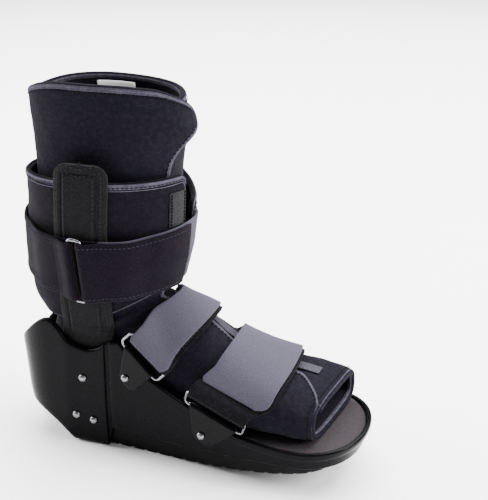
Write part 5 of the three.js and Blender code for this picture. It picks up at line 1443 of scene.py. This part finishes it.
class BOOT_OT_straps(bpy.types.Operator):
    """Build the calf straps and the two foot straps with their pads, edges and stitches."""

    bl_idname = "boot.straps"
    bl_label = "Straps and pads"

    def execute(self, context):
        s = settings()
        self.webbing = finish_for("strap_webbing", woven, s.webbing, pitch=1.6, ribs=0.22, fuzz=0.22,
                                  sheen=0.2)
        self.pile = finish_for("pad_pile", looped, s.pad, size=1.1, depth=0.3, sheen=0.2, mottle=0.07)
        self.calf_pile = finish_for("calf_pile", looped, s.calf, size=1.4, depth=0.6, sheen=0.3,
                                    mottle=0.4)
        self.dark_thread = thread_finish("strap_thread", (0.21, 0.20, 0.235))
        self.pad_thread = thread_finish("pad_thread", (0.43, 0.42, 0.47))
        self.calf()
        for name, strap in FOOT_STRAPS.items():
            self.foot(name, strap)
        return {"FINISHED"}

    def strap(self, name, node, band, path, finish, slot, rests_on, thread,
              rows=(EDGE_STITCH,), ends=(EDGE_STITCH,), **shape):
        """One strap as a closed sheet with rows of stitches along its edges and across its ends."""
        outer, inner = strap_grids(band, path, **shape)
        piece = sheet_piece(name, outer, inner, finish, [node])
        declare_sheet((outer + inner) / 2)
        normals = unit(outer - inner)
        places = [(grids, inset) for inset in rows for grids in long_sides(outer, normals)]
        places += [((outer[::-1], normals[::-1]), inset) for inset in ends]
        places.append(((outer, normals), EDGE_STITCH))
        lines = [raised_line(*grids, inset, 0.12, slice(2, -2)) for grids, inset in places]
        stitch_piece(f"{name}_stitches", lines, thread)

    def calf(self):
        """The grey layer in front, the black returned end over it, and the strap round the back."""
        band = calf_band()
        half, ring = band.length / 2, CALF_BAR
        front = ring + 0.213 * band.length
        self.strap("calf_base", "calf_strap_base", band, under_path(half - ring, ring), self.pile, "pad",
                   ["wrap_cloth"], self.pad_thread)
        self.strap("calf_over", "calf_strap", band, over_path(half - ring, ring, front), self.calf_pile,
                   "strap", ["calf_base"], self.dark_thread, crown=0.4)
        near_bar, far_bar = band.length - ring, half + ring
        near_tail = ease_run(near_bar, near_bar - TURN_TAIL, TURN_LEVEL, TAIL_LEVEL)
        far_tail = ease_run(far_bar, far_bar + TURN_TAIL, TURN_LEVEL, TAIL_LEVEL)[::-1]
        path = np.concatenate([far_tail, turn_round(far_bar, -1)[::-1],
                               flat_run(far_bar, near_bar, BASE_LEVEL)[:-1],
                               turn_round(near_bar, 1), near_tail])
        self.strap("calf_back", "calf_back_strap", band, path, self.calf_pile, "strap", ["wrap_cloth"],
                   self.dark_thread, rows=(EDGE_STITCH, 5.0))

    def foot(self, name, strap):
        """The dark strap, a little wider to the toe, and the grey returned end over it."""
        band = foot_band(strap)
        under, over = under_path(0, band.length), over_path(0, band.length, strap["end"])
        self.strap(f"{name}_webbing", f"{name}_strap", band, under, self.webbing, "strap", ["liner_cloth"],
                   self.dark_thread, reach=(0.0, 1.0 + 2.6 / strap["width"]))
        self.strap(f"{name}_cover", f"{name}_pad", band, over, self.pile, "pad", [f"{name}_webbing"],
                   self.pad_thread, crown=0.5, clip=3.0, skew=strap["skew"], ends=(1.6, 3.1, 4.6, 6.1))


# ---------------------------------------------------------------- rings, tabs and rivets


RING_CORNER = 4.0


def ring_tube(centre, long_axis, short_axis, strap_width, short_span):
    """Round wire bent to a rectangle with round corners, as a closed tube wide enough for a strap."""
    radius = RING_WIRE / 2
    long_span = strap_width + RING_WIRE + 2 * GAP + 2
    a = np.radians([start + 90 * t for start in (0, 90, 180, 270) for t in np.linspace(0, 1, 9)])[:, None]
    corner_x, corner_y = (np.repeat(signs, 9)[:, None] for signs in ((1, -1, -1, 1), (1, 1, -1, -1)))
    outward = long_axis * np.cos(a) + short_axis * np.sin(a)
    path = (centre + long_axis * corner_x * (long_span / 2 - RING_CORNER)
            + short_axis * corner_y * (short_span / 2 - RING_CORNER) + outward * RING_CORNER)
    normal = np.broadcast_to(unit(np.cross(long_axis, short_axis)), path.shape)
    return tube_points(path, outward, normal, radius, radius, steps=18), True


def across_at(band, s):
    """From a bar's end at the strap's first edge to its end at the other one."""
    return band.at(s, 1.0, BAR_LEVEL) - band.at(s, 0.0, BAR_LEVEL)


def calf_ring(band, bar):
    """The ring whose first bar lies at that place on the calf's band."""
    span = 2 * CALF_BAR
    a, b = band.at(bar, 0.5, BAR_LEVEL), band.at(bar + span, 0.5, BAR_LEVEL)
    short = unit(b - a)
    across = across_at(band, bar)
    long_axis = unit(across - short * np.dot(across, short))
    return ring_tube((a + b) / 2, long_axis, short, CALF_WIDTH, span)


class BOOT_OT_rings(bpy.types.Operator):
    """Build the six steel rings that the straps turn round."""

    bl_idname = "boot.rings"
    bl_label = "Rings"

    def execute(self, context):
        finish = finish_for("ring_steel", steel, (0.44, 0.44, 0.46), rough=settings().metal_roughness)
        band = calf_band()
        for name, bar in (("near", -CALF_BAR), ("far", band.length / 2 - CALF_BAR)):
            tube_piece(f"calf_wire_{name}", [calf_ring(band, bar)], finish, [f"calf_ring_{name}"])
        for name, strap in FOOT_STRAPS.items():
            self.foot_rings(name, strap, finish)
        return {"FINISHED"}

    def foot_rings(self, name, strap, finish):
        """A ring from the strap's turn down to the bar in the tab, on each side."""
        band = foot_band(strap)
        for label, side in SIDES:
            s = 0.0 if side < 0 else band.length
            bar = band.at(s, 0.5, BAR_LEVEL)
            long_axis = unit(across_at(band, s))
            down = lower_bar(strap, side).mean(axis=0) - bar
            down = down - long_axis * np.dot(down, long_axis)
            span = np.linalg.norm(down)
            tube = ring_tube(bar + down / 2, long_axis, down / span, strap["width"], span)
            tube_piece(f"{name}_wire_{label}", [tube], finish, [f"{name}_ring_{label}"])


# A tab: its thickness, how far it runs down inside and outside the wall, how much narrower than the
# strap it is, how wide at its foot, and how far above the rivet its straight run ends.
TAB_THICK, TAB_INSIDE, TAB_DROP, TAB_NARROWER, TAB_FOOT, TAB_TO_RIVET = 1.6, 5.0, 20.0, 6.0, 14.0, 6.8


def rivet_place(strap):
    """x and z of a foot strap's rivet."""
    x = strap["rivet"][0] * SHELL_LENGTH
    return x, float(wall_top(x)) * strap["rivet"][1]


def tab_grids(strap, side):
    """The tab: a plate bent over the wall's edge round the lower bar, tapering to its rivet."""
    a, b = lower_bar(strap, side)
    run = unit(b - a)
    down_x, down_z = run[2], -run[0]
    level = SHELL_WALL / 2 + GAP + TAB_THICK / 2
    turn = np.linspace(-math.pi / 2, math.pi / 2, 15)
    # Three runs: up inside the wall, round its edge, and down outside, where share goes from 0 to 1.
    down = np.concatenate([np.linspace(TAB_INSIDE, 1, 4), -level * np.cos(turn), np.zeros(14)])
    out = np.concatenate([np.full(4, -level), level * np.sin(turn), np.full(14, level)])
    share = np.concatenate([np.zeros(19), np.linspace(0, 1, 15)[1:]])
    fall = np.where(share > 0, TAB_DROP * share, down)
    last = len(share) - 1
    before, after = np.maximum(np.arange(-1, last), 0), np.minimum(np.arange(1, last + 2), last)
    d_fall, d_out = fall[after] - fall[before], out[after] - out[before]
    length = np.hypot(d_fall, d_out)
    middle = (a + b) / 2
    rivet_x, rivet_z = rivet_place(strap)
    share = share[:, None]
    t = np.linspace(-0.5, 0.5, 17)[None]
    width = t * (strap["width"] - TAB_NARROWER)
    foot = t * TAB_FOOT * np.sqrt(1 - np.clip((share - 0.8) / 0.2, 0, 1) ** 2 * 0.55)
    def face(reach):
        reach = reach / length
        drop, push = (down - d_out * reach)[:, None], (out + d_fall * reach)[:, None]
        x = mix(middle[0] + run[0] * width, rivet_x + run[0] * foot, share) + down_x * drop
        z = mix(middle[2] + run[2] * width, rivet_z - TAB_TO_RIVET + run[2] * foot, share) + down_z * drop
        return np.stack([x, side * (wall_middle(x, z) + push), z], -1)
    return face(TAB_THICK / 2), face(-TAB_THICK / 2)


RIVET_RADIUS, RIVET_HEIGHT, RIVET_GAP = 3.5, 2.6, 0.3
# Column rivets: shares of the shell length and of the valley's height.
COLUMN_RIVETS = ((0.227, 0.705), (0.2005, 0.3), (0.253, 0.275))


def dome(x, z, side, off):
    """A rivet head: an elliptical dome with a small flat top, standing on the shell's face."""
    def face_y(px, pz):
        return half_width(px) - flare(pz) + (COLUMN_STEP if px < COLUMN_FRONT else 0)
    y = float(face_y(x, z))
    outward = unit(np.array([-(face_y(x + 1, z) - face_y(x - 1, z)) / 2, side,
                             -(face_y(x, z + 1) - face_y(x, z - 1)) / 2]))
    flat = unit(np.cross(outward, (0, 0, 1)))
    up = np.cross(flat, outward)
    a = np.linspace(0, math.pi / 2, 9)[:-1]
    out = RIVET_RADIUS * np.concatenate([[0.98], np.cos(a), np.cos(a[-1:]) * 0.3])
    rise = RIVET_HEIGHT * np.concatenate([[0.0], np.sin(a), [1.0]])
    turn = np.arange(28) * TAU / 28
    centre = np.array([x, side * y, z]) + outward * off
    rings = (centre + outward * rise[:, None, None]
             + (flat * np.cos(turn)[:, None] + up * np.sin(turn)[:, None])[None] * out[:, None, None])
    return rings, False


class BOOT_OT_fixings(bpy.types.Operator):
    """Build the plastic tabs over the shell's edge and the rivet heads."""

    bl_idname = "boot.fixings"
    bl_label = "Tabs and rivets"

    def execute(self, context):
        # The tabs' edges get only a trace of painted highlight.
        plate = finish_for("tab_plastic", moulded, (0.016, 0.015, 0.023), rough=0.26, depth=0.05, wear=0.1,
                           specular=0.06)
        nickel = finish_for("rivet_nickel", steel, (0.46, 0.45, 0.46), rough=0.26)
        for label, side in SIDES:
            for name, strap in FOOT_STRAPS.items():
                outer, inner = tab_grids(strap, side)
                sheet_piece(f"{name}_plate_{label}", outer, inner, plate, [f"{name}_tab_{label}"])
                tube = dome(*rivet_place(strap), side, GAP + TAB_THICK + RIVET_GAP)
                tube_piece(f"{name}_stud_{label}", [tube], nickel, [f"{name}_rivet_{label}"])
            for number, (x, z) in enumerate(COLUMN_RIVETS, 1):
                tube = dome(x * SHELL_LENGTH, z * VALLEY_HEIGHT, side, RIVET_GAP)
                tube_piece(f"column_stud_{label}_{number}", [tube], nickel,
                           [f"column_rivet_{label}_{number}"])
        return {"FINISHED"}


# ---------------------------------------------------------------- studio


def area_light(name, place, aim, power, size):
    """A white rectangular light at a place, turned to a point; place and size in metres."""
    lamp = bpy.data.lights.new(name, "AREA")
    lamp.energy = power * settings().light
    lamp.shape = "RECTANGLE"
    lamp.size, lamp.size_y = size
    holder = bpy.data.objects.new(name, lamp)
    bpy.context.scene.collection.objects.link(holder)
    holder.location = place
    holder.rotation_euler = (Vector(aim) - Vector(place)).to_track_quat("-Z", "Y").to_euler()


# Each light: its name, its place and aim in metres, its power in watts and its size in metres.
LIGHTS = (("top_light", (0.1, 1.7, 3.2), (0.05, 0.9, 0.0), 980, (5.0, 3.6)),
          ("heel_light", (-1.7, -0.1, 0.9), (-0.05, 0, 0.14), 84, (0.7, 1.4)),
          ("toe_light", (1.6, 0.0, 0.9), (0.10, 0, 0.10), 66, (0.6, 1.0)),
          ("front_light", (-0.4, -2.2, 1.6), (0.05, 0, 0.1), 4, (0.7, 0.7)))
AIR_LIGHT, FLOOR_HALF = 0.30, 6
# The photograph's size, its focal length and the place of the camera's target in it, in pixels.
PHOTO_WIDE, PHOTO_TALL, PHOTO_FOCUS, TARGET_X, TARGET_Y = 488, 500, 888.3, 189.8, 286.6


class BOOT_OT_studio(bpy.types.Operator):
    """Build the pale floor, the soft lights and the camera at the photograph's angle."""

    bl_idname = "boot.studio"
    bl_label = "Studio"

    def execute(self, context):
        s = settings()
        across = np.linspace(-FLOOR_HALF, FLOOR_HALF, 25)
        mesh = bpy.data.meshes.new("studio_floor")
        x, y = np.meshgrid(across, across, indexing="ij")
        points = np.stack([x, y, np.zeros_like(x)], -1).reshape(-1, 3)
        mesh.from_pydata(points.tolist(), [], grid_faces(*x.shape).tolist())
        mesh.materials.append(studio_paper("studio_paper", s.floor))
        floor = bpy.data.objects.new("studio_floor", mesh)
        bpy.context.scene.collection.objects.link(floor)
        world = bpy.data.worlds.new("studio_air")
        world.use_nodes = True
        air = world.node_tree.nodes["Background"]
        air.inputs["Color"].default_value = (1, 1, 1, 1)
        air.inputs["Strength"].default_value = AIR_LIGHT * s.light
        bpy.context.scene.world = world
        for light in LIGHTS:
            area_light(*light)
        self.camera(context)
        return {"FINISHED"}

    def camera(self, context):
        """The camera: its turn, height and distance, and the shift that places the boot in the frame."""
        azimuth, elevation, distance = math.radians(20), math.radians(23.3), 0.7235
        target = Vector((0.056, 0, 0.140))
        level = math.cos(elevation)
        away = Vector((math.sin(azimuth) * level, -math.cos(azimuth) * level, math.sin(elevation)))
        data = bpy.data.cameras.new("photo_camera")
        data.sensor_fit = "HORIZONTAL"
        data.sensor_width = 36
        data.lens = PHOTO_FOCUS * data.sensor_width / PHOTO_WIDE
        data.shift_x = (PHOTO_WIDE / 2 - TARGET_X) / PHOTO_WIDE
        data.shift_y = (TARGET_Y - PHOTO_TALL / 2) / PHOTO_WIDE
        holder = bpy.data.objects.new("photo_camera", data)
        context.scene.collection.objects.link(holder)
        holder.location = target + away * distance
        holder.rotation_euler = (-away).to_track_quat("-Z", "Y").to_euler()
        context.scene.camera = holder


class BOOT_PT_panel(bpy.types.Panel):
    bl_label = "Walking boot"
    bl_idname = "BOOT_PT_panel"
    bl_space_type = "VIEW_3D"
    bl_region_type = "UI"
    bl_category = "Walking boot"

    def draw(self, context):
        column = self.layout.column(align=True)
        for name in BootSettings.__annotations__:
            column.prop(context.scene.walking_boot, name)
        for step in STEPS:
            self.layout.operator(step.bl_idname)


STEPS = (BOOT_OT_studio, BOOT_OT_shell, BOOT_OT_outsole, BOOT_OT_liner, BOOT_OT_wrap, BOOT_OT_uprights,
         BOOT_OT_straps, BOOT_OT_rings, BOOT_OT_fixings)
CLASSES = (BootSettings, *STEPS, BOOT_PT_panel)


def register():
    for item in CLASSES:
        bpy.utils.register_class(item)
    bpy.types.Scene.walking_boot = bpy.props.PointerProperty(type=BootSettings)


def unregister():
    del bpy.types.Scene.walking_boot
    for item in reversed(CLASSES):
        bpy.utils.unregister_class(item)


def main():
    register()
    for step in STEPS:
        group, name = step.bl_idname.split(".")
        getattr(getattr(bpy.ops, group), name)()


if __name__ == "__main__":
    main()
